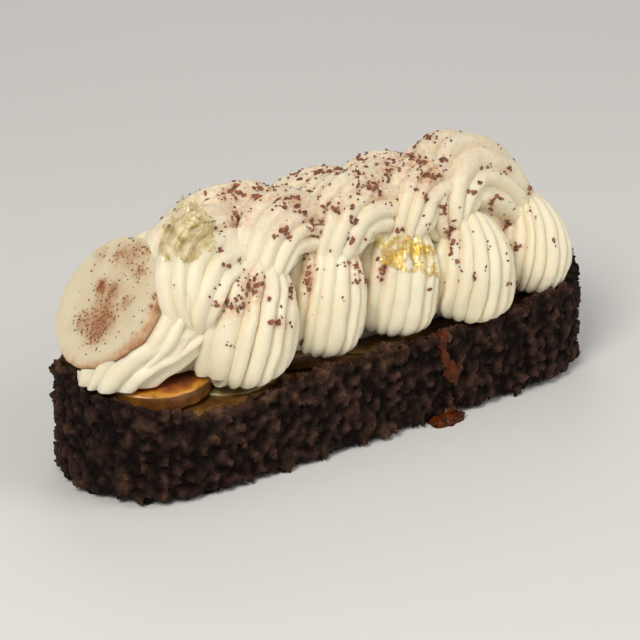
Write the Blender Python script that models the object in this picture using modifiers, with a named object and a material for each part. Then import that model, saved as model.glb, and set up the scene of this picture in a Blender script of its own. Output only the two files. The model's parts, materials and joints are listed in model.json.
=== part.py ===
"""Banoffee pie bar: a long chocolate crumb case filled with toffee and banana slices, under piped cream.

Lengths are in metres. +X runs along the bar, -Y is the front, +Z is up, and the origin is the middle of the base.
"""

import math
import random

import bmesh
import bpy
from mathutils import Euler, Vector, noise
from mathutils.bvhtree import BVHTree

MM = 0.001
GAP = 0.35 * MM  # room between two pieces that touch

# The crumb case
CASE_LENGTH = 129.6 * MM
CASE_WIDTH = 42.4 * MM
WALL = 4.6 * MM
FLOOR = 8 * MM
RIM_AT_ENDS = 24.0 * MM
RIM_ON_SIDES = 20.4 * MM
RIM_DIP = 3.0 * MM  # how far the front rim sags by the first two slices
RIM_DIP_CENTRE = -38 * MM
RIM_DIP_WIDTH = 9 * MM
RIM_RISE_START = 26 * MM  # where the side rims start to climb to the right end
END_POINTS = 22  # in each round end of the outline
SIDE_CUTS = 30  # in each straight side of it
WALL_ROWS = 6
CRUMB_SIZE = 4.4 * MM
CRUMB_RELIEF = 2.4 * MM
CRUMB_PROUD = 0.3  # the share of the relief that stands out of the plain shape

# The toffee in the case, and the run of it down the front, as (x, y, z, radius) in millimetres
TOFFEE_LEVEL = 17.8 * MM
TOFFEE_RUN = (
    (14.2, -18.4, 19.6, 1.2),
    (14.8, -20.2, 20.4, 1.5),
    (15.8, -21.0, 18.4, 1.4),
    (17.0, -21.0, 14.6, 1.2),
    (17.9, -21.0, 10.8, 1.5),
    (18.6, -21.1, 8.6, 1.1),
    (18.4, -21.0, 5.4, 0.9),
    (17.6, -21.2, 2.6, 1.6),
)
POOL = Vector((17.0 * MM, -21.4 * MM, 0))
POOL_SIZE = Vector((5.0 * MM, 2.6 * MM, 1.8 * MM))

# The banana slices that lie on the toffee by turns: two sunk in it, and two on top of those
SLICE_RADIUS = 12.4 * MM
SLICE_THICKNESS = 3.6 * MM
SLICES = ((-46.0, 21.05), (-29.6, 17.1), (-13.0, 21.05), (4.0, 17.1))  # along the bar, and up, in millimetres
SLICE_Y = -2.4 * MM
SLICE_TIP = math.radians(3)  # front edge down

# The banana slice that stands against the left end of the cream
DISC_RADIUS = 14.3 * MM
DISC_THICKNESS = 2.4 * MM
DISC_CENTRE = Vector((-51.5 * MM, 2.8 * MM, 36.4 * MM))
DISC_LEAN = math.radians(39)

# The piped cream: each stroke of the nozzle goes through points (x, y, z, radius), in millimetres
LOBE_TEETH = 14
SHELL_TEETH = 10
LOBE_TOOTH_DEPTH = 0.15  # as a share of the stroke's radius
SHELL_TOOTH_DEPTH = 0.2
LOBE_TWIST = 0.4
LOBES = (  # along the bar, forward, how far the top leans to the right, its height and its size
    (-30.4, 0.4, 5.0, 0.95, 1.28),
    (-9.8, 0.0, 3.0, 0.95, 1.04),
    (9.0, 0.4, 2.8, 0.9, 1.05),
    (26.4, 3.8, 1.2, 0.8, 1.1),
)
SHELLS = (  # start along the bar, length, how far up, forward, and size
    (-40.4, 16.5, -4.0, 1.6, 0.9),
    (-24.8, 18.6, -0.2, 0.0, 1.0),
    (-6.4, 18.8, 0.2, 0.0, 1.0),
    (12.2, 15.0, 0.6, 0.2, 0.95),
)
CRESTS = (-37.0, -24.0, -10.0, 4.0, 17.0)
LOBE_PATH = (  # with x as a share of the lean
    (0.0, -9.2, 21.4, 6.8),
    (0.0, -9.4, 23.4, 8.7),
    (0.05, -9.5, 26.8, 9.4),
    (0.15, -9.4, 30.6, 9.5),
    (0.35, -8.9, 34.6, 9.2),
    (0.65, -7.8, 38.2, 8.2),
    (0.95, -6.2, 41.4, 6.4),
    (1.2, -4.4, 43.6, 4.0),
)
SHELL_PATH = (  # with x as a share of the length
    (0.02, -9.0, 36.8, 3.0),
    (-0.04, -9.2, 40.0, 5.8),
    (0.04, -8.6, 43.2, 7.4),
    (0.22, -7.0, 46.2, 8.0),
    (0.48, -5.8, 47.0, 8.0),
    (0.74, -5.2, 45.6, 7.6),
    (0.94, -5.6, 43.0, 6.4),
    (1.06, -6.2, 40.0, 4.2),
)
CREST_PATH = (
    (0.0, -5.4, 43.0, 3.6),
    (2.6, -3.8, 44.8, 6.2),
    (7.4, -1.8, 46.0, 7.4),
    (12.6, 0.6, 45.6, 7.2),
    (16.8, 2.8, 43.8, 5.4),
    (19.4, 4.6, 41.4, 3.0),
)
LAST_PATH = (
    (46.4, -10.4, 21.8, 6.4),
    (46.5, -10.6, 23.6, 8.2),
    (46.9, -10.4, 27.0, 9.0),
    (47.5, -9.4, 31.0, 8.4),
    (48.0, -7.4, 34.6, 6.6),
    (48.6, -4.4, 37.0, 3.4),
)
TURN_PATH = (
    (54.0, -0.6, 19.4, 7.0),
    (53.8, -0.8, 22.8, 9.2),
    (53.0, -1.0, 26.8, 9.4),
    (51.0, -0.8, 31.2, 8.2),
    (47.6, -0.4, 35.0, 6.0),
    (43.6, 0.0, 37.6, 3.2),
)
CORNER_PATH = (
    (-56.8, -2.6, 20.8, 6.0),
    (-55.6, -3.4, 23.8, 7.4),
    (-53.2, -4.6, 27.2, 8.2),
    (-49.6, -6.0, 29.8, 8.2),
    (-45.6, -7.6, 31.2, 7.4),
    (-41.8, -9.0, 32.6, 6.0),
    (-39.0, -9.8, 33.8, 4.2),
)
SIDE_PATH = (
    (-40.6, -9.6, 32.0, 3.2),
    (-43.2, -8.8, 36.6, 6.4),
    (-43.4, -7.2, 41.6, 8.0),
    (-40.4, -5.0, 45.2, 8.4),
    (-35.0, -3.0, 46.6, 8.4),
    (-29.4, -1.4, 45.8, 7.4),
    (-24.4, 0.0, 43.0, 4.6),
)
END_PATH = (
    (22.8, -9.8, 37.0, 3.6),
    (22.4, -8.4, 40.8, 7.8),
    (24.6, -5.2, 44.2, 10.5),
    (29.4, -2.4, 45.4, 11.2),
    (35.8, -1.4, 43.2, 11.3),
    (41.6, -1.0, 38.4, 10.5),
    (46.6, -1.0, 32.8, 8.0),
)
BACKING_PATH = (  # behind the standing slice
    (-40.2, 2.8, 42.0, 5.0),
    (-41.1, -3.0, 40.8, 6.2),
    (-43.8, -7.2, 37.6, 6.4),
    (-47.4, -8.7, 33.1, 6.2),
    (-50.4, -7.6, 29.3, 5.6),
    (-52.9, -4.6, 26.3, 4.4),
)
BACK_CORNER_SHIFT = 8
BACK_SIDE_SHIFT = 13.6
BACK_DROP = 3.0  # how much lower the shells lie at the back
CREAM_BASE = TOFFEE_LEVEL + GAP
LEFT_BASE = 23.3 * MM  # over the first slice
LEFT_BASE_END = -38 * MM
CORE_CENTRE = Vector((3 * MM, 0, 29 * MM))
CORE_SIZE = Vector((94 * MM, 18 * MM, 22 * MM))

# The chocolate flakes on the cream
FLAKE_CLUSTERS = (  # along and across the bar, how far it spreads, and how many
    (-34, -3, 3.0, 2),
    (-26, -1, 3.5, 3),
    (-18, -4, 3.0, 3),
    (-12, -6, 3.0, 3),
    (-5, -3, 4.0, 4),
    (3, -3, 3.5, 4),
    (4, -9, 3.5, 4),
    (15, -5, 3.5, 5),
    (21, -6, 3.0, 4),
    (20, -12, 2.5, 2),
    (-29, -13, 2.0, 1),
    (29, -9, 4.0, 2),
    (37, -11, 4.0, 2),
    (0, 8, 14.0, 6),
    (30, 7, 10.0, 4),
    (-26, 8, 7.0, 3),
)
FLAKE_SIZE = Vector((1.4 * MM, 0.9 * MM, 0.6 * MM))  # half its length, width and thickness
FLAKE_SEED = 11

# The two pieces of gold leaf, each as the place that it lies at, its width and height, how far its folds
# stand up, and how much narrower it is at its top
LEAVES = (
    (Vector((-38.6 * MM, -6.4 * MM, 52.4 * MM)), 12 * MM, 16 * MM, 1.6 * MM, 0.75),
    (Vector((12.3 * MM, -12.5 * MM, 33.6 * MM)), 13 * MM, 7 * MM, 1.0 * MM, 0.0),
)
LEAF_SAG = 3 * MM  # how far a leaf falls back behind its own middle where there is no cream below it
LEAF_FACING = Vector((-0.45, -0.62, 0.64)).normalized()
LEAF_THICKNESS = 0.35 * MM
LEAF_CELLS = 5

CREAM = (0.93, 0.87, 0.70)
CRUMB = (0.045, 0.026, 0.020)
TOFFEE = (0.55, 0.20, 0.03)
BANANA = (0.86, 0.72, 0.42)
GOLD = (0.90, 0.66, 0.20)


def clear_scene():
    for obj in list(bpy.data.objects):
        bpy.data.objects.remove(obj)


def collection(name, hidden=False):
    made = bpy.data.collections.new(name)
    bpy.context.scene.collection.children.link(made)
    made.hide_render = hidden
    return made


def material(name, colour, roughness, metallic=0.0):
    made = bpy.data.materials.new(name)
    made.use_nodes = True
    shader = made.node_tree.nodes["Principled BSDF"]
    shader.inputs["Base Color"].default_value = (*colour, 1)
    shader.inputs["Roughness"].default_value = roughness
    shader.inputs["Metallic"].default_value = metallic
    return made


def add_object(name, data, group, finish=None):
    obj = bpy.data.objects.new(name, data)
    group.objects.link(obj)
    if finish:
        data.materials.append(finish)
    return obj


def add_mesh(name, bm, group, finish=None):
    """An object of the bmesh, which is freed."""
    mesh = bpy.data.meshes.new(name)
    bm.to_mesh(mesh)
    bm.free()
    return add_object(name, mesh, group, finish)


def baked(obj):
    """A mesh of the object as its modifiers leave it, in world space."""
    bpy.context.view_layer.update()
    graph = bpy.context.evaluated_depsgraph_get()
    mesh = bpy.data.meshes.new_from_object(obj.evaluated_get(graph))
    mesh.transform(obj.matrix_world)
    return mesh


def combine(obj, pieces, operation):
    """Joins or cuts obj with every object of a collection, and then removes those objects."""
    modifier = obj.modifiers.new("combine", "BOOLEAN")
    modifier.operation = operation
    modifier.operand_type = "COLLECTION"
    modifier.collection = pieces
    modifier.solver = "MANIFOLD"
    result = baked(obj)
    obj.modifiers.remove(modifier)
    obj.data = result
    for piece in list(pieces.objects):
        bpy.data.objects.remove(piece)


def keep_largest(obj):
    """Drops loose scraps, and fills any sealed hollow by dropping its walls."""
    bm = bmesh.new()
    bm.from_mesh(obj.data)
    unseen = set(bm.verts)
    bodies = []
    while unseen:
        body = []
        edge = [unseen.pop()]
        while edge:
            vert = edge.pop()
            body.append(vert)
            for link in vert.link_edges:
                other = link.other_vert(vert)
                if other in unseen:
                    unseen.remove(other)
                    edge.append(other)
        bodies.append(body)
    bodies.sort(key=len)
    for body in bodies[:-1]:
        bmesh.ops.delete(bm, geom=body, context="VERTS")
    bm.to_mesh(obj.data)
    bm.free()


def add_room_cutter(obj, cutters, room=GAP):
    """A copy of obj that stands out by room all round, for cutting its neighbours."""
    cutter = add_object(obj.name + "_room", baked(obj), cutters)
    swell = cutter.modifiers.new("swell", "DISPLACE")
    swell.strength = room
    swell.mid_level = 0
    cutter.display_type = "WIRE"


def smooth(t):
    t = min(max(t, 0), 1)
    return t * t * (3 - 2 * t)


# The crumb case


def oblong(bm, radius, half_straight, end_points, side_cuts, z):
    """A ring of vertices round an oblong with fully round ends, which is a circle pulled apart at its middle."""
    ring = bmesh.ops.create_circle(bm, segments=2 * end_points, radius=radius)["verts"]
    bmesh.ops.rotate(bm, verts=ring, matrix=Euler((0, 0, math.pi / (2 * end_points))).to_matrix())
    for vert in ring:
        vert.co.x += math.copysign(half_straight, vert.co.x)
        vert.co.z = z
    edges = {edge for vert in ring for edge in vert.link_edges}
    sides = [edge for edge in edges if edge.verts[0].co.x * edge.verts[1].co.x < 0]
    bmesh.ops.subdivide_edges(bm, edges=sides, cuts=side_cuts)
    return list(bm.edges)


def add_ring(bm, edges, half_straight, inset, z):
    """Pulls the open ring of edges to the height z, and in towards the middle line by inset."""
    made = bmesh.ops.extrude_edge_only(bm, edges=edges)["geom"]
    for vert in made:
        if isinstance(vert, bmesh.types.BMVert):
            middle = Vector((min(max(vert.co.x, -half_straight), half_straight), 0, vert.co.z))
            vert.co -= (vert.co - middle).normalized() * inset
            vert.co.z = z
    return [edge for edge in made if isinstance(edge, bmesh.types.BMEdge)]


def rim_height(x, y):
    """The rim stands full height at both ends and lower along the sides, where the filling shows."""
    left = 1 - smooth((x + CASE_LENGTH / 2) / (0.14 * CASE_LENGTH))
    right = smooth((x - RIM_RISE_START) / (CASE_LENGTH / 2 - RIM_RISE_START))
    height = RIM_ON_SIDES + (RIM_AT_ENDS - RIM_ON_SIDES) * max(left, right)
    if y < 0:
        height -= RIM_DIP * (1 - smooth(abs(x - RIM_DIP_CENTRE) / (2 * RIM_DIP_WIDTH)))
    return height


def case_blank(name, end_points, side_cuts, rows, group, finish=None):
    """The case with smooth walls. Its vertex group holds all but the inner walls and the two floors."""
    radius = CASE_WIDTH / 2
    half_straight = CASE_LENGTH / 2 - radius
    bm = bmesh.new()
    edges = oblong(bm, radius, half_straight, end_points, side_cuts, 0)
    bmesh.ops.edgeloop_fill(bm, edges=edges)
    for row in range(1, rows + 1):
        edges = add_ring(bm, edges, half_straight, 0, RIM_AT_ENDS * row / (rows + 0.4))
    edges = add_ring(bm, edges, half_straight, 0.35 * WALL, RIM_AT_ENDS + 0.6 * MM)
    edges = add_ring(bm, edges, half_straight, 0.65 * WALL, RIM_AT_ENDS - 0.4 * MM)
    bm.verts.index_update()
    crumbly = [vert.index for vert in bm.verts]
    for vert in bm.verts:
        above = max(vert.co.z - FLOOR, 0)
        vert.co.z += above * ((rim_height(vert.co.x, vert.co.y) - FLOOR) / (RIM_AT_ENDS - FLOOR) - 1)
    edges = add_ring(bm, edges, half_straight, 0, FLOOR)
    bmesh.ops.edgeloop_fill(bm, edges=edges)
    bmesh.ops.recalc_face_normals(bm, faces=bm.faces[:])
    blank = add_mesh(name, bm, group, finish)
    blank.vertex_groups.new(name="crumbly").add(crumbly, 1, "REPLACE")
    return blank


def build_case(group, finish):
    case = case_blank("crumb_case", END_POINTS, SIDE_CUTS, WALL_ROWS, group, finish)
    foot = [vert.index for vert in case.data.vertices if vert.co.z < 0.01 * MM]
    crumbs = bpy.data.textures.new("crumbs", "VORONOI")
    crumbs.noise_scale = CRUMB_SIZE
    relief = case.modifiers.new("relief", "DISPLACE")
    relief.texture = crumbs
    relief.texture_coords = "LOCAL"
    relief.vertex_group = "crumbly"
    relief.strength = -CRUMB_RELIEF
    relief.mid_level = CRUMB_PROUD
    case.data = baked(case)
    case.modifiers.remove(relief)
    for index in foot:
        case.data.vertices[index].co.z = 0
    return case


def sweep(name, points, section, group, finish=None, twist=0.0):
    """A solid that carries the section along points (x, y, z, radius), given in millimetres."""
    curve = bpy.data.curves.new(name, "CURVE")
    curve.dimensions = "3D"
    curve.bevel_mode = "OBJECT"
    curve.bevel_object = section
    curve.use_fill_caps = True
    spline = curve.splines.new("POLY")
    spline.points.add(len(points) - 1)
    for i, (x, y, z, radius) in enumerate(points):
        spline.points[i].co = (x * MM, y * MM, z * MM, 1)
        spline.points[i].radius = radius * MM
        spline.points[i].tilt = twist * i / (len(points) - 1)
    guide = add_object(name, curve, group)
    bm = bmesh.new()
    bm.from_mesh(baked(guide))
    bpy.data.objects.remove(guide)
    bmesh.ops.remove_doubles(bm, verts=bm.verts, dist=0.01 * MM)
    bmesh.ops.recalc_face_normals(bm, faces=bm.faces[:])
    return add_mesh(name, bm, group, finish)


def ring_section(name, count, depth, group):
    """A closed outline of radius 1: a circle when depth is 0, and otherwise a star with that depth of tooth."""
    curve = bpy.data.curves.new(name, "CURVE")
    spline = curve.splines.new("POLY")
    spline.points.add(count - 1)
    spline.use_cyclic_u = True
    for i, point in enumerate(spline.points):
        reach = 1 - depth * (i % 2)
        turn = 2 * math.pi * i / count
        point.co = (reach * math.cos(turn), reach * math.sin(turn), 0, 1)
    return add_object(name, curve, group)


def add_toffee_run(case, pieces, guides):
    """Fuses the run of toffee, and the small pool that it ends in, to the front of the case."""
    sweep("toffee_run", TOFFEE_RUN, ring_section("round", 10, 0, guides), pieces)
    bm = bmesh.new()
    bmesh.ops.create_uvsphere(bm, u_segments=14, v_segments=8, radius=1)
    bmesh.ops.scale(bm, verts=bm.verts, vec=POOL_SIZE)
    bmesh.ops.translate(bm, verts=bm.verts, vec=POOL)
    below = bmesh.ops.bisect_plane(
        bm, geom=bm.verts[:] + bm.edges[:] + bm.faces[:], plane_co=(0, 0, 0), plane_no=(0, 0, -1), clear_outer=True
    )
    bmesh.ops.edgeloop_fill(bm, edges=[g for g in below["geom_cut"] if isinstance(g, bmesh.types.BMEdge)])
    bmesh.ops.recalc_face_normals(bm, faces=bm.faces[:])
    add_mesh("toffee_pool", bm, pieces)
    combine(case, pieces, "UNION")
    keep_largest(case)


# The banana slices and the toffee round them


def add_slice(name, radius, thickness, centre, turn, segments, group, finish):
    bm = bmesh.new()
    bmesh.ops.create_cone(bm, cap_ends=True, segments=segments, radius1=radius, radius2=radius, depth=thickness)
    random.seed(name)
    shift = random.random() * 10
    for vert in bm.verts:
        wobble = noise.noise(Vector((vert.co.x, vert.co.y, 0)) / radius + Vector((0, 0, shift)))
        vert.co.xy *= 1 + 0.03 * wobble
    obj = add_mesh(name, bm, group, finish)
    obj.location = centre
    obj.rotation_euler = turn
    rounded = obj.modifiers.new("soft_edge", "BEVEL")
    rounded.width = 0.5 * MM
    rounded.limit_method = "ANGLE"
    rounded.angle_limit = math.radians(60)
    return obj


def add_face_cutter(disc, cutters):
    """A short cylinder in front of the standing slice, so that no cream covers its face."""
    bm = bmesh.new()
    reach = DISC_RADIUS - 0.2 * MM
    bmesh.ops.create_cone(bm, cap_ends=True, segments=34, radius1=reach, radius2=1.15 * reach, depth=DISC_RADIUS)
    bmesh.ops.translate(bm, verts=bm.verts, vec=(0, 0, DISC_RADIUS / 2))
    cutter = add_mesh("face_room", bm, cutters)
    cutter.location = disc.location
    cutter.rotation_euler = disc.rotation_euler


def add_slice_cutter(piece, cutters):
    """A plain disc with room for one slice, for cutting the toffee and the cream."""
    bm = bmesh.new()
    reach = SLICE_RADIUS * 1.03 + GAP
    bmesh.ops.create_cone(
        bm, cap_ends=True, segments=16, radius1=reach, radius2=reach, depth=SLICE_THICKNESS + 2 * GAP
    )
    cutter = add_mesh(piece.name + "_room", bm, cutters)
    cutter.location = piece.location
    cutter.rotation_euler = piece.rotation_euler


def build_toffee(slices, group, finish, cutters):
    radius = CASE_WIDTH / 2 - WALL - GAP
    half_straight = CASE_LENGTH / 2 - CASE_WIDTH / 2
    bm = bmesh.new()
    edges = oblong(bm, radius, half_straight, 10, 8, FLOOR + GAP)
    bmesh.ops.edgeloop_fill(bm, edges=edges)
    edges = add_ring(bm, edges, half_straight, 0, TOFFEE_LEVEL)
    bmesh.ops.edgeloop_fill(bm, edges=edges)
    bmesh.ops.recalc_face_normals(bm, faces=bm.faces[:])
    toffee = add_mesh("toffee", bm, group, finish)
    for piece in slices:
        add_slice_cutter(piece, cutters)
    combine(toffee, cutters, "DIFFERENCE")
    keep_largest(toffee)


# The piped cream


def placed(path, along=0.0, forward=0.0, up=0.0, stretch=1.0, size=1.0, side=1, height=1.0):
    """The stroke stretched and moved along the bar, forwards and up, and mirrored to the back when side is -1."""
    foot = path[0][2]
    points = []
    for x, y, z, radius in path:
        points.append((along + stretch * x, side * (y - forward), foot + height * (z - foot) + up, size * radius))
    return points


def lobe_strokes():
    """The lobes along both sides of the bar, with ridges that run up them."""
    strokes = [TURN_PATH]
    for side in (1, -1):
        strokes.append(placed(LAST_PATH, side=side))
        for along, forward, lean, height, size in LOBES:
            strokes.append(placed(LOBE_PATH, along, forward, 0, lean, size, side, height))
    return strokes


def shell_strokes():
    """The shells that curl over the lobes, the crest and the two ends, with bolder ridges."""
    strokes = [CORNER_PATH, placed(CORNER_PATH, BACK_CORNER_SHIFT, side=-1)]
    strokes.append(placed(CORNER_PATH, 2.0, -1.2, 4.6, size=0.85))
    strokes += [SIDE_PATH, placed(SIDE_PATH, BACK_SIDE_SHIFT, side=-1), END_PATH, BACKING_PATH]
    for start, length, up, forward, size in SHELLS:
        strokes.append(placed(SHELL_PATH, start, forward, up, length, size))
        strokes.append(placed(SHELL_PATH, start, forward, up - BACK_DROP, length, size, side=-1))
    for along in CRESTS:
        strokes.append(placed(CREST_PATH, along))
    return strokes


def build_cream(group, finish, pieces, guides):
    """All the strokes and a block that fills the middle, made one body."""
    fine_star = ring_section("fine_star", 2 * LOBE_TEETH, LOBE_TOOTH_DEPTH, guides)
    bold_star = ring_section("bold_star", 2 * SHELL_TEETH, SHELL_TOOTH_DEPTH, guides)
    for i, stroke in enumerate(lobe_strokes()):
        twist = math.copysign(LOBE_TWIST, -stroke[0][1])
        sweep("lobe_%02d" % i, stroke, fine_star, pieces, twist=twist)
    for i, stroke in enumerate(shell_strokes()):
        sweep("shell_%02d" % i, stroke, bold_star, pieces)
    bm = bmesh.new()
    bmesh.ops.create_cube(bm, size=1)
    bmesh.ops.scale(bm, verts=bm.verts, vec=CORE_SIZE)
    bmesh.ops.translate(bm, verts=bm.verts, vec=CORE_CENTRE)
    cream = add_mesh("whipped_cream", bm, group, finish)
    combine(cream, pieces, "UNION")
    return cream


def cut_cream(cream, disc, slices, pieces, cutters):
    """Leaves room round the standing slice and over the case, the toffee and the slices that lie in it."""
    add_room_cutter(disc, cutters)
    add_face_cutter(disc, cutters)
    plain_case = case_blank("plain_case", 12, 12, 2, pieces)
    add_room_cutter(plain_case, cutters, room=CRUMB_PROUD * CRUMB_RELIEF + GAP)
    bpy.data.objects.remove(plain_case)
    for piece in slices:
        add_slice_cutter(piece, cutters)
    for name, end, level in (("base", 0.1, CREAM_BASE), ("left_base", LEFT_BASE_END, LEFT_BASE)):
        add_block(name, Vector((end - 0.1, 0, level - 10 * MM)), Vector((0.2, 0.1, 20 * MM)), cutters)
    combine(cream, cutters, "DIFFERENCE")
    keep_largest(cream)


def add_block(name, centre, size, group):
    bm = bmesh.new()
    bmesh.ops.create_cube(bm, size=1)
    bmesh.ops.scale(bm, verts=bm.verts, vec=size)
    bmesh.ops.translate(bm, verts=bm.verts, vec=centre)
    return add_mesh(name, bm, group)


# What lies on the cream


def surface_of(obj):
    bm = bmesh.new()
    bm.from_mesh(obj.data)
    tree = BVHTree.FromBMesh(bm)
    bm.free()
    return tree


def build_leaf(name, surface, place, width, height, rise, taper, group, finish):
    """A crumpled sheet that follows the cream below it, and stands up from it by rise in places."""
    across = LEAF_FACING.cross(Vector((0, 0, 1))).normalized()
    up = across.cross(LEAF_FACING)
    bm = bmesh.new()
    bmesh.ops.create_grid(bm, x_segments=LEAF_CELLS, y_segments=LEAF_CELLS, size=0.5)
    random.seed(name)
    shift = Vector((0, 0, 10 * random.random()))
    for vert in bm.verts:
        ragged = 1 + 0.3 * noise.noise(3 * vert.co + shift)
        narrowed = width * ragged * (1 - 2 * taper * max(vert.co.y, 0))
        start = place + across * (vert.co.x * narrowed) + up * (vert.co.y * height * ragged)
        fold = abs(noise.noise(4 * vert.co + shift)) + 0.5 * abs(noise.noise(9 * vert.co + shift))
        vert.co = lie_on(surface, start, across, up, min(width, height) / LEAF_CELLS) + LEAF_FACING * (rise * fold)
    bmesh.ops.triangulate(bm, faces=bm.faces[:])
    leaf = add_mesh(name, bm, group, finish)
    solid = leaf.modifiers.new("thickness", "SOLIDIFY")
    solid.thickness = LEAF_THICKNESS
    solid.offset = 0
    return leaf


def lie_on(surface, start, across, up, reach):
    """The point over start that clears everything on the surface within reach of it."""
    most = 30 * MM - LEAF_SAG
    for side, rise in ((0, 0), (1, 0), (-1, 0), (0, 1), (0, -1), (1, 1), (-1, -1), (1, -1), (-1, 1)):
        corner = start + 0.7 * reach * (across * side + up * rise)
        hit = surface.ray_cast(corner + LEAF_FACING * 30 * MM, -LEAF_FACING)[0]
        if hit:
            most = max(most, 30 * MM + (hit - corner).dot(LEAF_FACING))
    return start + LEAF_FACING * (most - 30 * MM + LEAF_THICKNESS + GAP)


def scatter_flakes(surface, pieces):
    """Chocolate flakes half sunk in the cream, in the clusters that they fell in."""
    random.seed(FLAKE_SEED)
    placed_at = []
    for x, y, spread, count in FLAKE_CLUSTERS:
        left = count
        while left:
            start = Vector((random.gauss(x, spread) * MM, random.gauss(y, spread) * MM, 80 * MM))
            hit, normal = surface.ray_cast(start, Vector((0, 0, -1)))[:2]
            if not hit or normal.z < 0.2 or hit.z < 26 * MM:
                continue
            near_leaf = any(
                (hit - place).length < 0.75 * max(width, height) for place, width, height, *_ in LEAVES
            )
            crowded = any((hit - other).length < 2.3 * MM for other in placed_at)
            if near_leaf or crowded:
                continue
            placed_at.append(hit)
            left -= 1
            add_flake("flake_%02d" % len(placed_at), hit, normal, pieces)


def add_flake(name, hit, normal, pieces):
    bm = bmesh.new()
    bmesh.ops.create_icosphere(bm, subdivisions=1, radius=1)
    for vert in bm.verts:
        vert.co *= random.uniform(0.75, 1.2)
    bmesh.ops.scale(bm, verts=bm.verts, vec=FLAKE_SIZE * random.uniform(0.7, 1.2))
    spin = Euler((random.uniform(-0.5, 0.5), random.uniform(-0.5, 0.5), random.uniform(0, 6.28)))
    turn = normal.to_track_quat("Z", "Y") @ spin.to_quaternion()
    bmesh.ops.rotate(bm, verts=bm.verts, matrix=turn.to_matrix())
    bmesh.ops.translate(bm, verts=bm.verts, vec=hit + normal * 0.1 * MM)
    add_mesh(name, bm, pieces)


def main():
    clear_scene()
    part = collection("banoffee_pie")
    pieces = collection("pieces", hidden=True)
    cutters = collection("cutters", hidden=True)
    guides = collection("guides", hidden=True)
    crumb = material("chocolate_crumb", CRUMB, 0.85)
    banana = material("banana", BANANA, 0.5)

    case = build_case(part, crumb)
    add_toffee_run(case, pieces, guides)
    slices = []
    for i, (along, up) in enumerate(SLICES):
        centre = Vector((along * MM, SLICE_Y, up * MM))
        name = "banana_slice_%d" % (i + 1)
        slices.append(add_slice(name, SLICE_RADIUS, SLICE_THICKNESS, centre, (SLICE_TIP, 0, 0), 20, part, banana))
    build_toffee(slices, part, material("toffee", TOFFEE, 0.25), cutters)
    turn = (0, DISC_LEAN - math.pi / 2, 0)
    disc = add_slice("banana_disc", DISC_RADIUS, DISC_THICKNESS, DISC_CENTRE, turn, 32, part, banana)
    cream = build_cream(part, material("cream", CREAM, 0.5), pieces, guides)
    cut_cream(cream, disc, slices, pieces, cutters)
    surface = surface_of(cream)
    gold = material("gold_leaf", GOLD, 0.3, 1.0)
    for i, leaf in enumerate(LEAVES):
        build_leaf("gold_leaf_%d" % (i + 1), surface, *leaf, part, gold)
    scatter_flakes(surface, pieces)
    combine(cream, pieces, "UNION")
    keep_largest(cream)


main()
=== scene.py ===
# Banoffee pie bar: a chocolate crumb case of toffee and banana slices under piped whipped cream.
# Lengths are metres, +X runs along the bar, -Y is the front and +Z is up.

import json
import math
import random

import bmesh
import bpy
from mathutils import Euler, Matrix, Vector, noise
from mathutils.bvhtree import BVHTree

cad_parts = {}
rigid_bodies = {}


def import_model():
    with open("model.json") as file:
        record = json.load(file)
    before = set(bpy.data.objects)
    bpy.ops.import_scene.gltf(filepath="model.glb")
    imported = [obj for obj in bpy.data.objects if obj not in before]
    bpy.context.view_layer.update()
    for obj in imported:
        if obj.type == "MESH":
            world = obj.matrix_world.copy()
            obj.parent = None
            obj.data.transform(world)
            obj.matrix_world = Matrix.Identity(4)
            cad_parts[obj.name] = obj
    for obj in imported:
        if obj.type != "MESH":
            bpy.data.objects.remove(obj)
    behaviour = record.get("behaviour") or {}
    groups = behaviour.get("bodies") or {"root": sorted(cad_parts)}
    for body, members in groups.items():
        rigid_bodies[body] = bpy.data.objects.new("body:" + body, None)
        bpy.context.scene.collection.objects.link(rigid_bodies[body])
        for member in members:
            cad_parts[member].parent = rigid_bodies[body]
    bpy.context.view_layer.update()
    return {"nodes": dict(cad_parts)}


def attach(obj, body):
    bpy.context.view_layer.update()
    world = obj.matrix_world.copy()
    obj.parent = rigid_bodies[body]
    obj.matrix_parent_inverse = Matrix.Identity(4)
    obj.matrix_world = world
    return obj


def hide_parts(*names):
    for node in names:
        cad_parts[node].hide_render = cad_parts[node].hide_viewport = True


mm = 0.001
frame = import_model()
print("frame loaded:", len(frame["nodes"]), "nodes")


# Small helpers for node trees, objects and meshes

def addNode(tree, kind, inputs=None, **settings):
    node = tree.nodes.new(kind)
    for key, value in settings.items():
        setattr(node, key, value)
    for key, value in (inputs or {}).items():
        socket = node.inputs[key]
        if isinstance(value, bpy.types.NodeSocket):
            tree.links.new(value, socket)
        else:
            socket.default_value = value
    return node


def math1(tree, operation, a, b=0.0, clamp=False):
    node = addNode(tree, "ShaderNodeMath", {0: a, 1: b}, operation=operation, use_clamp=clamp)
    return node.outputs[0]


def vector1(tree, operation, a, b=(0, 0, 0)):
    node = addNode(tree, "ShaderNodeVectorMath", {0: a}, operation=operation)
    socket = node.inputs["Scale"] if operation == "SCALE" else node.inputs[1]
    if isinstance(b, bpy.types.NodeSocket):
        tree.links.new(b, socket)
    else:
        socket.default_value = b
    return node.outputs[0]


def noiseOver(tree, place, scale, detail=3.0):
    node = addNode(tree, "ShaderNodeTexNoise", {"Vector": place, "Scale": scale, "Detail": detail})
    return node.outputs["Fac"]


def swung(tree, value, strength, middle=0.0, clamp=False):
    # a noise round 0.5 made to swing round the middle by the strength
    moved = math1(tree, "MULTIPLY", math1(tree, "SUBTRACT", value, 0.5), strength)
    return math1(tree, "ADD", moved, middle, clamp)


def blend(tree, share, first, second):
    # the second colour over the first by that share
    return addNode(tree, "ShaderNodeMix", {0: share, 6: first, 7: second}, data_type="RGBA").outputs[2]


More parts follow.
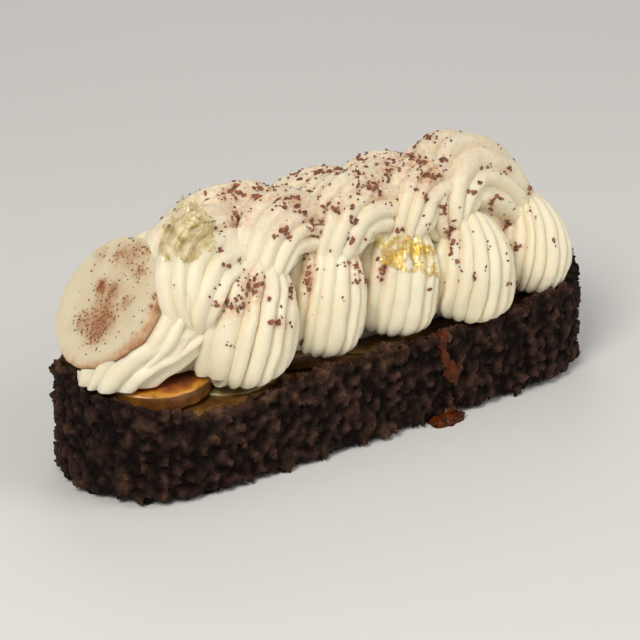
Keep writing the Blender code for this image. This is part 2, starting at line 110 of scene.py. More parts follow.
def objectPlace(tree):
    return addNode(tree, "ShaderNodeTexCoord").outputs["Object"]


def valueOf(tree, name):
    # a value that the mesh carries at each point
    return addNode(tree, "ShaderNodeAttribute", attribute_name=name).outputs["Fac"]


def reshaped(tree, kind, shape, inputs=None):
    # a node that takes a geometry and passes it on changed
    return addNode(tree, kind, {"Geometry": shape, **(inputs or {})}).outputs[0]


def newGeometryTree(name, inputs):
    # a Geometry Nodes tree with one geometry in and out, and a named input for each size
    tree = bpy.data.node_groups.new(name, "GeometryNodeTree")
    tree.interface.new_socket("Geometry", in_out="INPUT", socket_type="NodeSocketGeometry")
    for label, kind in inputs.items():
        tree.interface.new_socket(label, in_out="INPUT", socket_type="NodeSocket" + kind)
    tree.interface.new_socket("Geometry", in_out="OUTPUT", socket_type="NodeSocketGeometry")
    source = tree.nodes.new("NodeGroupInput").outputs
    sink = tree.nodes.new("NodeGroupOutput").inputs
    return tree, source, sink[0]


def runTree(obj, tree, values):
    # the mesh that the tree makes of the object
    modifier = obj.modifiers.new(tree.name, "NODES")
    modifier.node_group = tree
    for item in tree.interface.items_tree:
        if item.in_out == "INPUT" and item.name in values:
            modifier[item.identifier] = values[item.name]
    made = evaluatedMesh(obj)
    obj.modifiers.remove(modifier)
    return made


def evaluatedMesh(obj):
    bpy.context.view_layer.update()
    graph = bpy.context.evaluated_depsgraph_get()
    made = bpy.data.meshes.new_from_object(obj.evaluated_get(graph))
    made.transform(obj.matrix_world)
    return made


def newCollection(name):
    group = bpy.data.collections.new(name)
    bpy.context.scene.collection.children.link(group)
    return group


def newObject(name, data, group=None, finish=None):
    obj = bpy.data.objects.new(name, data)
    (group or bpy.context.scene.collection).objects.link(obj)
    if finish:
        data.materials.clear()
        data.materials.append(finish)
    return obj


def meshFrom(name, bm, group=None, finish=None, soft=True):
    mesh = bpy.data.meshes.new(name)
    bmesh.ops.recalc_face_normals(bm, faces=bm.faces[:])
    bm.to_mesh(mesh)
    bm.free()
    if soft:
        mesh.shade_smooth()
    return newObject(name, mesh, group, finish)


def removeAll(objects):
    for obj in list(objects):
        bpy.data.objects.remove(obj)


def combine(obj, others, operation):
    # one Boolean of the object with all that a collection holds
    modifier = obj.modifiers.new("combine", "BOOLEAN")
    modifier.operation = operation
    modifier.operand_type = "COLLECTION"
    modifier.collection = others
    modifier.solver = "MANIFOLD"
    made = evaluatedMesh(obj)
    obj.modifiers.remove(modifier)
    made.polygons.foreach_set("material_index", [0] * len(made.polygons))
    finish = obj.data.materials[0]
    made.materials.clear()
    made.materials.append(finish)
    obj.data = made
    removeAll(others.objects)


def addPiece(obj, slot, *nodes):
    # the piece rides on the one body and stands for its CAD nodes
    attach(obj, "root")
    if nodes:
        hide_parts(*nodes)
    obj.data.calc_loop_triangles()
    print("  %s: %d triangles" % (obj.name, len(obj.data.loop_triangles)))


def smoothStep(t):
    t = min(max(t, 0), 1)
    return t * t * (3 - 2 * t)


def surfaceOf(obj):
    bm = bmesh.new()
    bm.from_mesh(obj.data)
    tree = BVHTree.FromBMesh(bm)
    bm.free()
    return tree


def writeValues(mesh, name, values):
    mesh.attributes.new(name, "FLOAT", "POINT").data.foreach_set("value", values)


def bridge(bm, rings, capped=False):
    # faces between each ring of points and the next, and over both ends when capped
    count = len(rings[0])
    for low, high in zip(rings, rings[1:]):
        for i in range(count):
            j = (i + 1) % count
            bm.faces.new((low[i], low[j], high[j], high[i]))
    if capped:
        bm.faces.new(list(reversed(rings[0])))
        bm.faces.new(rings[-1])


def addBox(bm, size, centre):
    verts = bmesh.ops.create_cube(bm, size=1)["verts"]
    bmesh.ops.scale(bm, verts=verts, vec=size)
    bmesh.ops.translate(bm, verts=verts, vec=centre)


def relax(bm, times):
    for k in range(times):
        bmesh.ops.smooth_vert(
            bm, verts=bm.verts[:], factor=0.5, use_axis_x=True, use_axis_y=True, use_axis_z=True
        )


def keepAbove(verts, level=0):
    for vert in verts:
        vert.co.z = max(vert.co.z, level)


def axesFacing(facing):
    # to the right and upwards for an eye that looks against this direction
    right = Vector((0, 0, 1)).cross(facing).normalized()
    return right, facing.cross(right)


def thickened(obj, thickness, offset):
    # the mesh of a sheet that is given its thickness
    solid = obj.modifiers.new("thickness", "SOLIDIFY")
    solid.thickness = thickness
    solid.offset = offset
    mesh = evaluatedMesh(obj)
    obj.modifiers.clear()
    return mesh


def addShard(bm, detail, size, hit, normal, sunk):
    # a small uneven lump that lies on a surface
    made = bmesh.ops.create_icosphere(bm, subdivisions=detail, radius=1)["verts"]
    for vert in made:
        vert.co *= random.uniform(0.72, 1.25)
    bmesh.ops.scale(bm, verts=made, vec=size)
    spin = Euler((random.uniform(-0.5, 0.5), random.uniform(-0.5, 0.5), random.uniform(0, 6.28)))
    turn = normal.to_track_quat("Z", "Y") @ spin.to_quaternion()
    bmesh.ops.rotate(bm, verts=made, matrix=turn.to_matrix())
    bmesh.ops.translate(bm, verts=made, vec=hit + normal * sunk)


# Finishes: two shader groups that most of them share, and the materials themselves

def newShaderGroup(name, inputs, outputs):
    tree = bpy.data.node_groups.new(name, "ShaderNodeTree")
    for label, (kind, value) in inputs.items():
        socket = tree.interface.new_socket(label, in_out="INPUT", socket_type="NodeSocket" + kind)
        socket.default_value = value
    for label, kind in outputs.items():
        tree.interface.new_socket(label, in_out="OUTPUT", socket_type="NodeSocket" + kind)
    return tree, tree.nodes.new("NodeGroupInput").outputs, tree.nodes.new("NodeGroupOutput").inputs


def makeMottle():
    # two colours in soft patches
    inputs = {
        "Light": ("Color", (1, 1, 1, 1)),
        "Dark": ("Color", (0, 0, 0, 1)),
        "Patch Size": ("Float", 5 * mm),
        "Sharpness": ("Float", 2.0),
    }
    tree, source, sink = newShaderGroup("mottle", inputs, {"Colour": "Color"})
    patches = noiseOver(tree, objectPlace(tree), math1(tree, "DIVIDE", 1.0, source["Patch Size"]))
    mask = swung(tree, patches, source["Sharpness"], 0.5, clamp=True)
    tree.links.new(blend(tree, mask, source["Light"], source["Dark"]), sink["Colour"])
    return tree


def makeGrain():
    # a fine bumpy skin of two sizes of grain
    inputs = {"Grain Size": ("Float", 1 * mm), "Depth": ("Float", 0.05 * mm), "Pits": ("Float", 0.0)}
    tree, source, sink = newShaderGroup("grain", inputs, {"Normal": "Vector"})
    place = objectPlace(tree)
    scale = math1(tree, "DIVIDE", 1.0, source["Grain Size"])
    rough = noiseOver(tree, place, scale, 4.0)
    cells = addNode(tree, "ShaderNodeTexVoronoi", {"Vector": place, "Scale": scale})
    pit = math1(tree, "SUBTRACT", 0.35, cells.outputs["Distance"], clamp=True)
    height = math1(tree, "SUBTRACT", rough, math1(tree, "MULTIPLY", pit, source["Pits"]))
    bump = addNode(tree, "ShaderNodeBump", {"Height": height, "Distance": source["Depth"], "Strength": 1.0})
    tree.links.new(bump.outputs["Normal"], sink["Normal"])
    return tree


mottle = makeMottle()
grain = makeGrain()


def ramped(tree, share, stops):
    # colours by the share, from stops from left to right, each where it is and its colour
    ramp = addNode(tree, "ShaderNodeValToRGB", {"Fac": share})
    elements = ramp.color_ramp.elements
    elements.remove(elements[1])
    elements[0].position = stops[0][0]
    elements[0].color = (*stops[0][1], 1)
    for at, colour in stops[1:]:
        elements.new(at).color = (*colour, 1)
    return ramp.outputs["Color"]


def newFinish(name, looks, tones=None, skin=None):
    # a material of plain values, with two tones in patches and a grained skin where they are given
    finish = bpy.data.materials.new(name)
    finish.use_nodes = True
    tree = finish.node_tree
    shader = tree.nodes["Principled BSDF"].inputs
    for label, value in looks.items():
        shader[label].default_value = value
    tone = None
    if tones:
        light, dark, patch, sharpness = tones
        colours = {"Light": (*light, 1), "Dark": (*dark, 1), "Patch Size": patch, "Sharpness": sharpness}
        tone = addNode(tree, "ShaderNodeGroup", colours, node_tree=mottle).outputs["Colour"]
        tree.links.new(tone, shader["Base Color"])
    if skin:
        sizes = dict(zip(("Grain Size", "Depth", "Pits"), skin))
        normal = addNode(tree, "ShaderNodeGroup", sizes, node_tree=grain).outputs["Normal"]
        tree.links.new(normal, shader["Normal"])
    return finish, tree, shader, tone


# Camera, lights and floor

shot = {
    "turn": 36.2,  # degrees round from the front, towards the left end
    "height": 23.8,  # degrees above the table
    "distance": 515.6 * mm,
    "aim": Vector((2.96, 7.14, 17.02)) * mm,
    "lens": 135,
    "sensor": 36,
    "nearest": 0.01,
    "floorColour": (0.80, 0.79, 0.77),
    "sky": (1.0, 0.98, 0.95),
    "skyStrength": 0.23,
    "lamps": (  # where from (turn, height), size in metres, watts, colour
        (-58, 44, 0.30, 3.3, (1.0, 0.97, 0.92)),
        (38, 38, 0.50, 1.6, (1.0, 0.98, 0.95)),
        (150, 40, 0.40, 0.8, (1.0, 0.98, 0.96)),
    ),
    "lampDistance": 0.75,
}


def direction(turn, height):
    a = math.radians(turn)
    e = math.radians(height)
    return Vector((math.sin(a) * math.cos(e), -math.cos(a) * math.cos(e), math.sin(e)))


def makeStage():
    back = direction(-shot["turn"], shot["height"])
    camera = newObject("camera", bpy.data.cameras.new("camera"))
    camera.data.lens = shot["lens"]
    camera.data.sensor_width = shot["sensor"]
    camera.data.clip_start = shot["nearest"]
    camera.location = shot["aim"] + back * shot["distance"]
    camera.rotation_euler = back.to_track_quat("Z", "Y").to_euler()
    bpy.context.scene.camera = camera
    for i, (turn, height, size, watts, colour) in enumerate(shot["lamps"]):
        name = "lamp%d" % (i + 1)
        lamp = newObject(name, bpy.data.lights.new(name, "AREA"))
        lamp.data.shape = "DISK"
        lamp.data.size = size
        lamp.data.energy = watts
        lamp.data.color = colour
        towards = direction(turn, height)
        lamp.location = towards * shot["lampDistance"]
        lamp.rotation_euler = towards.to_track_quat("Z", "Y").to_euler()
    world = bpy.data.worlds.new("studio")
    bpy.context.scene.world = world
    world.use_nodes = True
    sky = world.node_tree.nodes["Background"].inputs
    sky["Color"].default_value = (*shot["sky"], 1)
    sky["Strength"].default_value = shot["skyStrength"]
    paper = newFinish("floorPaper", {"Base Color": (*shot["floorColour"], 1), "Roughness": 0.9})[0]
    bm = bmesh.new()
    bmesh.ops.create_grid(bm, x_segments=1, y_segments=1, size=2)
    floor = meshFrom("floor", bm, None, paper)
    bpy.context.scene.view_settings.view_transform = "Standard"


makeStage()
print("stage set")


# Whipped cream

cream = {
    "lobes": (  # along the bar, forward, how far the top leans to the right, height and size
        (-30.4, 0.4, 5.0, 0.95, 1.28), (-9.8, 0.0, 3.0, 0.95, 1.04), (9.0, 0.4, 2.8, 0.9, 1.05),
        (26.4, 3.8, 1.2, 0.8, 1.1),
    ),
    "shells": (  # start along the bar, length, how far up, forward, and size
        (-40.4, 16.5, -4.0, 1.6, 0.9), (-24.8, 18.6, -0.2, 0.0, 1.0), (-6.4, 18.8, 0.2, 0.0, 1.0),
        (12.2, 15.0, 0.6, 0.2, 0.95),
    ),
    "crests": (-37.0, -24.0, -10.0, 4.0, 17.0),
    "lobe": (  # a stroke as (x, y, z, radius) in millimetres, here with x as a share of the lean
        (0.0, -9.2, 21.4, 6.8), (0.0, -9.4, 23.4, 8.7), (0.05, -9.5, 26.8, 9.4), (0.15, -9.4, 30.6, 9.5),
        (0.35, -8.9, 34.6, 9.2), (0.65, -7.8, 38.2, 8.2), (0.95, -6.2, 41.4, 6.4), (1.2, -4.4, 43.6, 4.0),
    ),
    "shell": (  # with x as a share of the length
        (0.02, -9.0, 36.8, 3.0), (-0.04, -9.2, 40.0, 5.8), (0.04, -8.6, 43.2, 7.4), (0.22, -7.0, 46.2, 8.0),
        (0.48, -5.8, 47.0, 8.0), (0.74, -5.2, 45.6, 7.6), (0.94, -5.6, 43.0, 6.4), (1.06, -6.2, 40.0, 4.2),
    ),
    "crest": (
        (0.0, -5.4, 43.0, 3.6), (2.6, -3.8, 44.8, 6.2), (7.4, -1.8, 46.0, 7.4), (12.6, 0.6, 45.6, 7.2),
        (16.8, 2.8, 43.8, 5.4), (19.4, 4.6, 41.4, 3.0),
    ),
    "last": (
        (46.4, -10.4, 21.8, 6.4), (46.5, -10.6, 23.6, 8.2), (46.9, -10.4, 27.0, 9.0),
        (47.5, -9.4, 31.0, 8.4), (48.0, -7.4, 34.6, 6.6), (48.6, -4.4, 37.0, 3.4),
    ),
    "turn": (
        (54.0, -0.6, 19.4, 7.0), (53.8, -0.8, 22.8, 9.2), (53.0, -1.0, 26.8, 9.4), (51.0, -0.8, 31.2, 8.2),
        (47.6, -0.4, 35.0, 6.0), (43.6, 0.0, 37.6, 3.2),
    ),
    "corner": (
        (-56.8, -2.6, 20.8, 6.0), (-55.6, -3.4, 23.8, 7.4), (-53.2, -4.6, 27.2, 8.2),
        (-49.6, -6.0, 29.8, 8.2), (-45.6, -7.6, 31.2, 7.4), (-41.8, -9.0, 32.6, 6.0),
        (-39.0, -9.8, 33.8, 4.2),
    ),
    "side": (
        (-40.6, -9.6, 32.0, 3.2), (-43.2, -8.8, 36.6, 6.4), (-43.4, -7.2, 41.6, 8.0),
        (-40.4, -5.0, 45.2, 8.4), (-35.0, -3.0, 46.6, 8.4), (-29.4, -1.4, 45.8, 7.4),
        (-24.4, 0.0, 43.0, 4.6),
    ),
    "end": (
        (22.8, -9.8, 37.0, 3.6), (22.4, -8.4, 40.8, 7.8), (24.6, -5.2, 44.2, 10.5), (29.4, -2.4, 45.4, 11.2),
        (35.8, -1.4, 43.2, 11.3), (41.6, -1.0, 38.4, 10.5), (46.6, -1.0, 32.8, 8.0),
    ),
    "backing": (  # behind the standing slice
        (-40.2, 2.8, 42.0, 5.0), (-41.1, -3.0, 40.8, 6.2), (-43.8, -7.2, 37.6, 6.4),
        (-47.4, -8.7, 33.1, 6.2), (-50.4, -7.6, 29.3, 5.6), (-52.9, -4.6, 26.3, 4.4),
    ),
    "backCornerShift": 8,
    "backDrop": 3.0,
    "coreCentre": Vector((3, 0, 29)) * mm,
    "coreSize": Vector((94, 18, 22)) * mm,
    "bases": (("base", 0.1, 18.3 * mm), ("leftBase", -38 * mm, 23.3 * mm)),  # name, right end and level
    "cutSize": (0.2, 0.1, 0.02),
    "ridges": {"lobe": 18, "shell": 12},
    "twist": {"lobe": 0.4, "shell": 0.0},
    "ridgeDepth": {"lobe": 0.15, "shell": 0.2},  # as a share of the stroke's radius
    "piping": {
        "Points per Ridge": 8, "Ring Spacing": 0.85 * mm, "Unevenness": 0.28, "Waver": 0.6 * mm,
        "Waver Size": 7 * mm, "Dents": 0.22 * mm, "Dent Size": 2.4 * mm,
    },
    "ridgeSway": 1.4,  # how quickly the ridges' spacing and their depth change along a stroke
    "ridgeVary": 3.1,
    "ridgeRound": 0.75,
    "sharpest": math.radians(50),
    "looks": {
        "Roughness": 0.5, "Subsurface Weight": 0.7, "Subsurface Scale": 1.5 * mm,
        "Subsurface Radius": (1.0, 0.72, 0.42),
    },
    "tones": ((0.92, 0.855, 0.68), (0.87, 0.775, 0.56), 9 * mm, 1.6),  # light, dark, size and edge of patches
    "skin": (0.9 * mm, 0.1 * mm, 0.5),  # size of the grain, its depth and its pits
    "cocoa": (0.72, 0.47, 0.30),  # where the chocolate has stained it
    "cocoaScale": 900.0,
}


def placed(path, along=0.0, forward=0.0, up=0.0, stretch=1.0, size=1.0, side=1, height=1.0):
    # the stroke stretched and moved along the bar, forwards and up, and mirrored to the back when side is -1
    foot = path[0][2]
    points = []
    for x, y, z, radius in path:
        risen = foot + height * (z - foot) + up
        points.append((along + stretch * x, side * (y - forward), risen, size * radius))
    return points


def creamStrokes():
    # each stroke as its kind and its path
    back = cream["backCornerShift"]
    strokes = [("shell", cream["corner"]), ("shell", placed(cream["corner"], back, side=-1))]
    strokes.append(("shell", placed(cream["corner"], 2.0, -1.2, 4.6, size=0.85)))
    strokes += [("shell", cream["side"]), ("shell", placed(cream["side"], 1.7 * back, side=-1))]
    strokes += [("shell", cream["end"]), ("shell", cream["backing"]), ("lobe", cream["turn"])]
    for side in (1, -1):
        strokes.append(("lobe", placed(cream["last"], side=side)))
        for along, forward, lean, height, size in cream["lobes"]:
            strokes.append(("lobe", placed(cream["lobe"], along, forward, 0, lean, size, side, height)))
        for start, length, up, forward, size in cream["shells"]:
            lift = up if side > 0 else up - cream["backDrop"]
            strokes.append(("shell", placed(cream["shell"], start, forward, lift, length, size, side)))
    strokes += [("shell", placed(cream["crest"], along)) for along in cream["crests"]]
    return strokes


def makeStrokeTree():
    # carries a ridged section along the curve, whose radius is the stroke's
    kinds = {"Ridges": "Int", "Ridge Depth": "Float", **dict.fromkeys(cream["piping"], "Float")}
    kinds.update({"Points per Ridge": "Int", "Seed": "Float", "Cream": "Material"})
    tree, source, sink = newGeometryTree("pipedStroke", kinds)
    line = {"Curve": source["Geometry"]}
    flowing = addNode(tree, "GeometryNodeCurveSplineType", line, spline_type="CATMULL_ROM").outputs[0]
    finer = reshaped(tree, "GeometryNodeSetSplineResolution", flowing, {"Resolution": 12})
    spaced = {"Curve": finer, "Length": source["Ring Spacing"]}
    rings = addNode(tree, "GeometryNodeResampleCurve", spaced, mode="LENGTH").outputs[0]
    points = math1(tree, "MULTIPLY", source["Ridges"], source["Points per Ridge"])
    ring = addNode(tree, "GeometryNodeCurvePrimitiveCircle", {"Resolution": points, "Radius": 1.0}).outputs[0]
    place = addNode(tree, "GeometryNodeInputPosition").outputs[0]
    seeded = addNode(tree, "ShaderNodeCombineXYZ", {"Z": source["Seed"]}).outputs[0]
    sample = vector1(tree, "ADD", place, seeded)
    share = addNode(tree, "GeometryNodeSplineParameter").outputs["Factor"]
    turned = math1(tree, "MULTIPLY", share, source["Ridges"])
    uneven = math1(tree, "MULTIPLY", source["Unevenness"], 4.0)
    pushed = swung(tree, noiseOver(tree, sample, cream["ridgeSway"], 1.0), uneven, turned)
    wave = math1(tree, "COSINE", math1(tree, "MULTIPLY", pushed, math.pi))
    crest = math1(tree, "POWER", math1(tree, "ABSOLUTE", wave), cream["ridgeRound"])
    varied = math1(tree, "MULTIPLY", noiseOver(tree, sample, cream["ridgeVary"], 1.0), 0.9)
    varied = math1(tree, "ADD", varied, 0.55)
    depth = math1(tree, "MULTIPLY", source["Ridge Depth"], varied)
    valley = math1(tree, "SUBTRACT", 1.0, crest)
    reach = math1(tree, "SUBTRACT", 1.0, math1(tree, "MULTIPLY", valley, depth))
    ridged = vector1(tree, "SCALE", place, reach)
    section = reshaped(tree, "GeometryNodeSetPosition", ring, {"Position": ridged})
    radius = addNode(tree, "GeometryNodeInputRadius").outputs[0]
    drawn = {"Curve": rings, "Profile Curve": section, "Scale": radius, "Fill Caps": True}
    shape = addNode(tree, "GeometryNodeCurveToMesh", drawn).outputs[0]
    for size, reach in (("Waver Size", "Waver"), ("Dent Size", "Dents")):
        scale = math1(tree, "DIVIDE", 1.0, source[size])
        soft = addNode(tree, "ShaderNodeTexNoise", {"Vector": sample, "Scale": scale, "Detail": 2.0})
        push = vector1(tree, "SUBTRACT", soft.outputs["Color"], (0.5, 0.5, 0.5))
        offset = vector1(tree, "SCALE", push, math1(tree, "MULTIPLY", source[reach], 2.0))
        shape = reshaped(tree, "GeometryNodeSetPosition", shape, {"Offset": offset})
    plain = reshaped(tree, "GeometryNodeRealizeInstances", shape)
    tree.links.new(reshaped(tree, "GeometryNodeSetMaterial", plain, {"Material": source["Cream"]}), sink)
    return tree


def strokeCurve(name, path, group, twist=0.0):
    curve = bpy.data.curves.new(name, "CURVE")
    curve.dimensions = "3D"
    spline = curve.splines.new("POLY")
    spline.points.add(len(path) - 1)
    for i, (x, y, z, radius) in enumerate(path):
        spline.points[i].co = (x * mm, y * mm, z * mm, 1)
        spline.points[i].radius = radius * mm
        spline.points[i].tilt = twist * i / (len(path) - 1)
    return newObject(name, curve, group)


def makeCreamFinish():
    finish, tree, shader, tone = newFinish("whippedCream", cream["looks"], cream["tones"], cream["skin"])
    uneven = math1(tree, "MULTIPLY", noiseOver(tree, objectPlace(tree), cream["cocoaScale"]), 4.0)
    patchy = math1(tree, "MULTIPLY", valueOf(tree, "stain"), math1(tree, "SUBTRACT", uneven, 1.2), clamp=True)
    tree.links.new(blend(tree, patchy, tone, (*cream["cocoa"], 1)), shader["Base Color"])
    return finish


def makeCream():
    finish = makeCreamFinish()
    pieces = newCollection("creamPieces")
    tree = makeStrokeTree()
    for i, (kind, path) in enumerate(creamStrokes()):
        twist = cream["twist"][kind] * (1 if path[0][1] < 0 else -1)
        guide = strokeCurve("guide", path, pieces, twist)
        sizes = {"Ridges": cream["ridges"][kind], "Ridge Depth": cream["ridgeDepth"][kind], **cream["piping"]}
        sizes.update({"Seed": 3.7 * i, "Cream": finish})
        stroke = runTree(guide, tree, sizes)
        bpy.data.objects.remove(guide)
        bm = bmesh.new()
        bm.from_mesh(stroke)
        bmesh.ops.remove_doubles(bm, verts=bm.verts, dist=0.001 * mm)
        meshFrom("stroke%d" % i, bm, pieces, finish)
    bm = bmesh.new()
    addBox(bm, cream["coreSize"], cream["coreCentre"])
    whipped = meshFrom("whippedCream", bm, None, finish)
    combine(whipped, pieces, "UNION")
    return whipped


def carveCream(whipped, rooms, standing):
    # cuts it flat over the toffee and the first slice, and makes room for the standing slice's face
    reach = banana["discRadius"] + banana["faceGap"]
    depth = banana["discRadius"]
    bm = bmesh.new()
    bmesh.ops.create_cone(bm, cap_ends=True, segments=64, radius1=reach, radius2=1.15 * reach, depth=depth)
    bmesh.ops.translate(bm, verts=bm.verts, vec=(0, 0, depth / 2))
    bmesh.ops.rotate(bm, verts=bm.verts, matrix=standing.to_matrix())
    bmesh.ops.translate(bm, verts=bm.verts, vec=banana["discCentre"])
    meshFrom("faceRoom", bm, rooms)
    length, width, height = cream["cutSize"]
    for name, end, level in cream["bases"]:
        bm = bmesh.new()
        addBox(bm, cream["cutSize"], (end - length / 2, 0, level - height / 2))
        meshFrom(name, bm, rooms)
    combine(whipped, rooms, "DIFFERENCE")
    whipped.data.shade_smooth()
    whipped.data.set_sharp_from_angle(angle=cream["sharpest"])


# The banana slices: four lie like roof tiles in the toffee, and one stands against the cream

banana = {
    "sliceRadius": 12.4 * mm,
    "sliceThickness": 3.6 * mm,
    "slices": ((-46.0, 21.05), (-29.6, 17.1), (-13.0, 21.05), (4.0, 17.1)),  # along the bar, and up
    "sliceY": -2.4 * mm,
    "tip": math.radians(3),  # front edge down
    "discRadius": 14.3 * mm,
    "discThickness": 2.4 * mm,
    "discCentre": Vector((-51.5, 2.8, 36.4)) * mm,
    "discLean": math.radians(39),
    "sides": 96,
    "rings": 12,
    "edgeRound": 0.55 * mm,
    "wobble": 0.03,
    "dents": 0.02,
    "sideShare": 0.25,  # how much further out its side counts for the colours
    "slack": 0.15 * mm,  # room round the lying slices, the standing one, its edge and its face
    "discSlack": 0.08 * mm,
    "edgeGap": 0.5 * mm,
    "faceGap": 0.45 * mm,
    "soaked": {
        "Roughness": 0.32, "Subsurface Weight": 0.45, "Subsurface Scale": 1.2 * mm,
        "Subsurface Radius": (1.0, 0.45, 0.12), "Coat Roughness": 0.22,
    },
    "soakedSkin": (1.3 * mm, 0.28 * mm, 0.5),
    "soakedScale": 330.0,
    "dusted": {
        "Roughness": 0.5, "Subsurface Weight": 0.4, "Subsurface Scale": 1.0 * mm,
        "Subsurface Radius": (1.0, 0.6, 0.25),
    },
    "dustedSkin": (0.6 * mm, 0.04 * mm, 0.3),
    "dustedScale": 700.0,
    "flesh": ((0.88, 0.81, 0.60), (0.80, 0.67, 0.44), 5 * mm, 2.0),
    # the tones are partly the toffee's soaking and partly painted shade: the middle is darkened under the
    # cream, the edge carries a painted highlight, and the lower and further slices are darker copies
    "looks": (  # of each lying slice: how glossy, and its colours from the middle out and down its side
        (0.5, ((0.50, (0.17, 0.030, 0.004)), (0.60, (0.42, 0.125, 0.010)), (0.68, (0.62, 0.30, 0.028)),
               (0.76, (0.36, 0.14, 0.016)), (0.90, (0.17, 0.060, 0.009)))),
        (0.4, ((0.50, (0.15, 0.085, 0.018)), (0.60, (0.24, 0.16, 0.042)), (0.68, (0.34, 0.26, 0.085)),
               (0.76, (0.22, 0.15, 0.038)), (0.90, (0.11, 0.062, 0.015)))),
        (0.4, ((0.50, (0.07, 0.022, 0.004)), (0.60, (0.13, 0.060, 0.012)), (0.68, (0.22, 0.13, 0.030)),
               (0.76, (0.13, 0.06, 0.014)), (0.90, (0.07, 0.028, 0.008)))),
        (0.4, ((0.50, (0.08, 0.030, 0.006)), (0.60, (0.14, 0.072, 0.015)), (0.68, (0.22, 0.14, 0.032)),
               (0.76, (0.12, 0.06, 0.014)), (0.90, (0.06, 0.028, 0.008)))),
    ),
    "dustings": (  # cocoa on the standing slice: up and across its face from its middle, how far it spreads,
        # how strongly it stains, and how many specks lie there, lengths in millimetres
        (-5.1, -1.3, 2.4, 0.42, 60), (-6.2, 3.4, 1.6, 0.36, 32), (-2.8, -3.1, 1.5, 0.36, 26),
        (-6.8, -2.2, 1.7, 0.34, 28), (1.9, 4.0, 0.9, 1.3, 8), (2.4, 0.0, 1.1, 0.5, 12),
        (-0.5, 0.6, 1.7, 0.36, 26), (10.9, 0.7, 2.2, 0.42, 36), (9.1, 4.6, 1.2, 0.4, 14),
        (12.9, -3.6, 1.0, 0.4, 12), (8.2, -4.4, 1.2, 0.5, 16), (1.8, -5.7, 1.0, 0.35, 6),
        (7.4, 9.4, 1.4, 0.35, 2), (13.2, -4.2, 0.5, 0.4, 4), (10.0, -9.6, 0.5, 0.4, 4),
        (5.7, -12.6, 0.5, 0.5, 5), (3.6, -13.2, 0.5, 0.5, 4), (1.0, -3.0, 7.5, 0.22, 90),
    ),
    # from flesh to the cocoa's stain; the same colours give the painted shade along the disc's lower edge
    "stainAndEdgeShade": ((0.0, (0.74, 0.62, 0.40)), (0.35, (0.60, 0.38, 0.21)), (0.62, (0.42, 0.18, 0.08)),
                (0.9, (0.28, 0.075, 0.028))),
    "speck": (0.26, 0.105, 0.055),
    "speckSize": Vector((1.2, 0.9, 0.4)),
}


def sliceProfile(radius, thickness):
    # (radius, height) from the middle of the lower face round the soft edge to the middle of the upper one
    edge = banana["edgeRound"]
    steps = [(radius * k / banana["rings"], -thickness / 2) for k in range(banana["rings"])]
    steps[-1] = (radius - edge, -thickness / 2)
    arc = [math.radians(a) for a in (22, 45, 68)]
    lower = [(radius - edge + edge * math.sin(a), -thickness / 2 + edge - edge * math.cos(a)) for a in arc]
    side = [(radius, -thickness / 2 + edge), (radius, 0)]
    half = steps + lower + side
    return half + [(r, -z) for r, z in reversed(half[:-1])]


def makeSlice(name, radius, thickness, centre, turn, finish, group=None, room=0.0):
    random.seed(name)
    shift = random.random() * 10
    profile = sliceProfile(radius + room, thickness + 2 * room)
    sides = banana["sides"]
    bm = bmesh.new()
    bottom = bm.verts.new((0, 0, profile[0][1]))
    top = bm.verts.new((0, 0, profile[-1][1]))
    turns = [2 * math.pi * i / sides for i in range(sides)]
    rings = [[bm.verts.new((r * math.cos(t), r * math.sin(t), z)) for t in turns] for r, z in profile[1:-1]]
    bridge(bm, rings)
    for i in range(sides):
        j = (i + 1) % sides
        bm.faces.new((bottom, rings[0][j], rings[0][i]))
        bm.faces.new((top, rings[-1][i], rings[-1][j]))
    matrix = turn.to_matrix()
    rim = bm.verts.layers.float.new("rim")
    for vert in bm.verts:
        onSide = abs(vert.co.z) < thickness / 2 - 0.7 * banana["edgeRound"]
        vert[rim] = vert.co.xy.length / radius + (banana["sideShare"] if onSide else 0)
        wobble = noise.noise(Vector((vert.co.x, vert.co.y, 0)) / radius + Vector((0, 0, shift)))
        dent = noise.noise(vert.co / (1.6 * mm) + Vector((shift, 0, 0)))
        vert.co.xy *= 1 + banana["wobble"] * wobble + banana["dents"] * dent
        vert.co = centre + matrix @ vert.co
    return meshFrom(name, bm, group, finish)


def makeSoakedFinish(name, glaze, stops):
    # soaked in toffee, with painted shade darkest in the middle under the cream, a painted highlight lighter
    # to the edge, and darker again down the side
    looks = {**banana["soaked"], "Coat Weight": glaze}
    finish, tree, shader, tone = newFinish(name, looks, skin=banana["soakedSkin"])
    uneven = noiseOver(tree, objectPlace(tree), banana["soakedScale"])
    share = swung(tree, uneven, 0.55, valueOf(tree, "rim"))
    tree.links.new(ramped(tree, math1(tree, "DIVIDE", share, 1.4), stops), shader["Base Color"])
    return finish


def makeDustedFinish():
    # pale flesh, stained where the cocoa lies, with painted shade along its lower edge
    finish, tree, shader, tone = newFinish(
        "bananaDusted", banana["dusted"], banana["flesh"], banana["dustedSkin"]
    )
    uneven = math1(tree, "MULTIPLY", noiseOver(tree, objectPlace(tree), banana["dustedScale"]), 1.6)
    patchy = math1(tree, "MULTIPLY", valueOf(tree, "dustAndEdgeShade"), math1(tree, "ADD", uneven, 0.2))
    stainAndEdgeShade = ramped(tree, math1(tree, "MULTIPLY", patchy, 0.7), banana["stainAndEdgeShade"])
    stainAndShadeShare = math1(tree, "MULTIPLY", patchy, 2.5, clamp=True)
    tree.links.new(blend(tree, stainAndShadeShare, tone, stainAndEdgeShade), shader["Base Color"])
    return finish


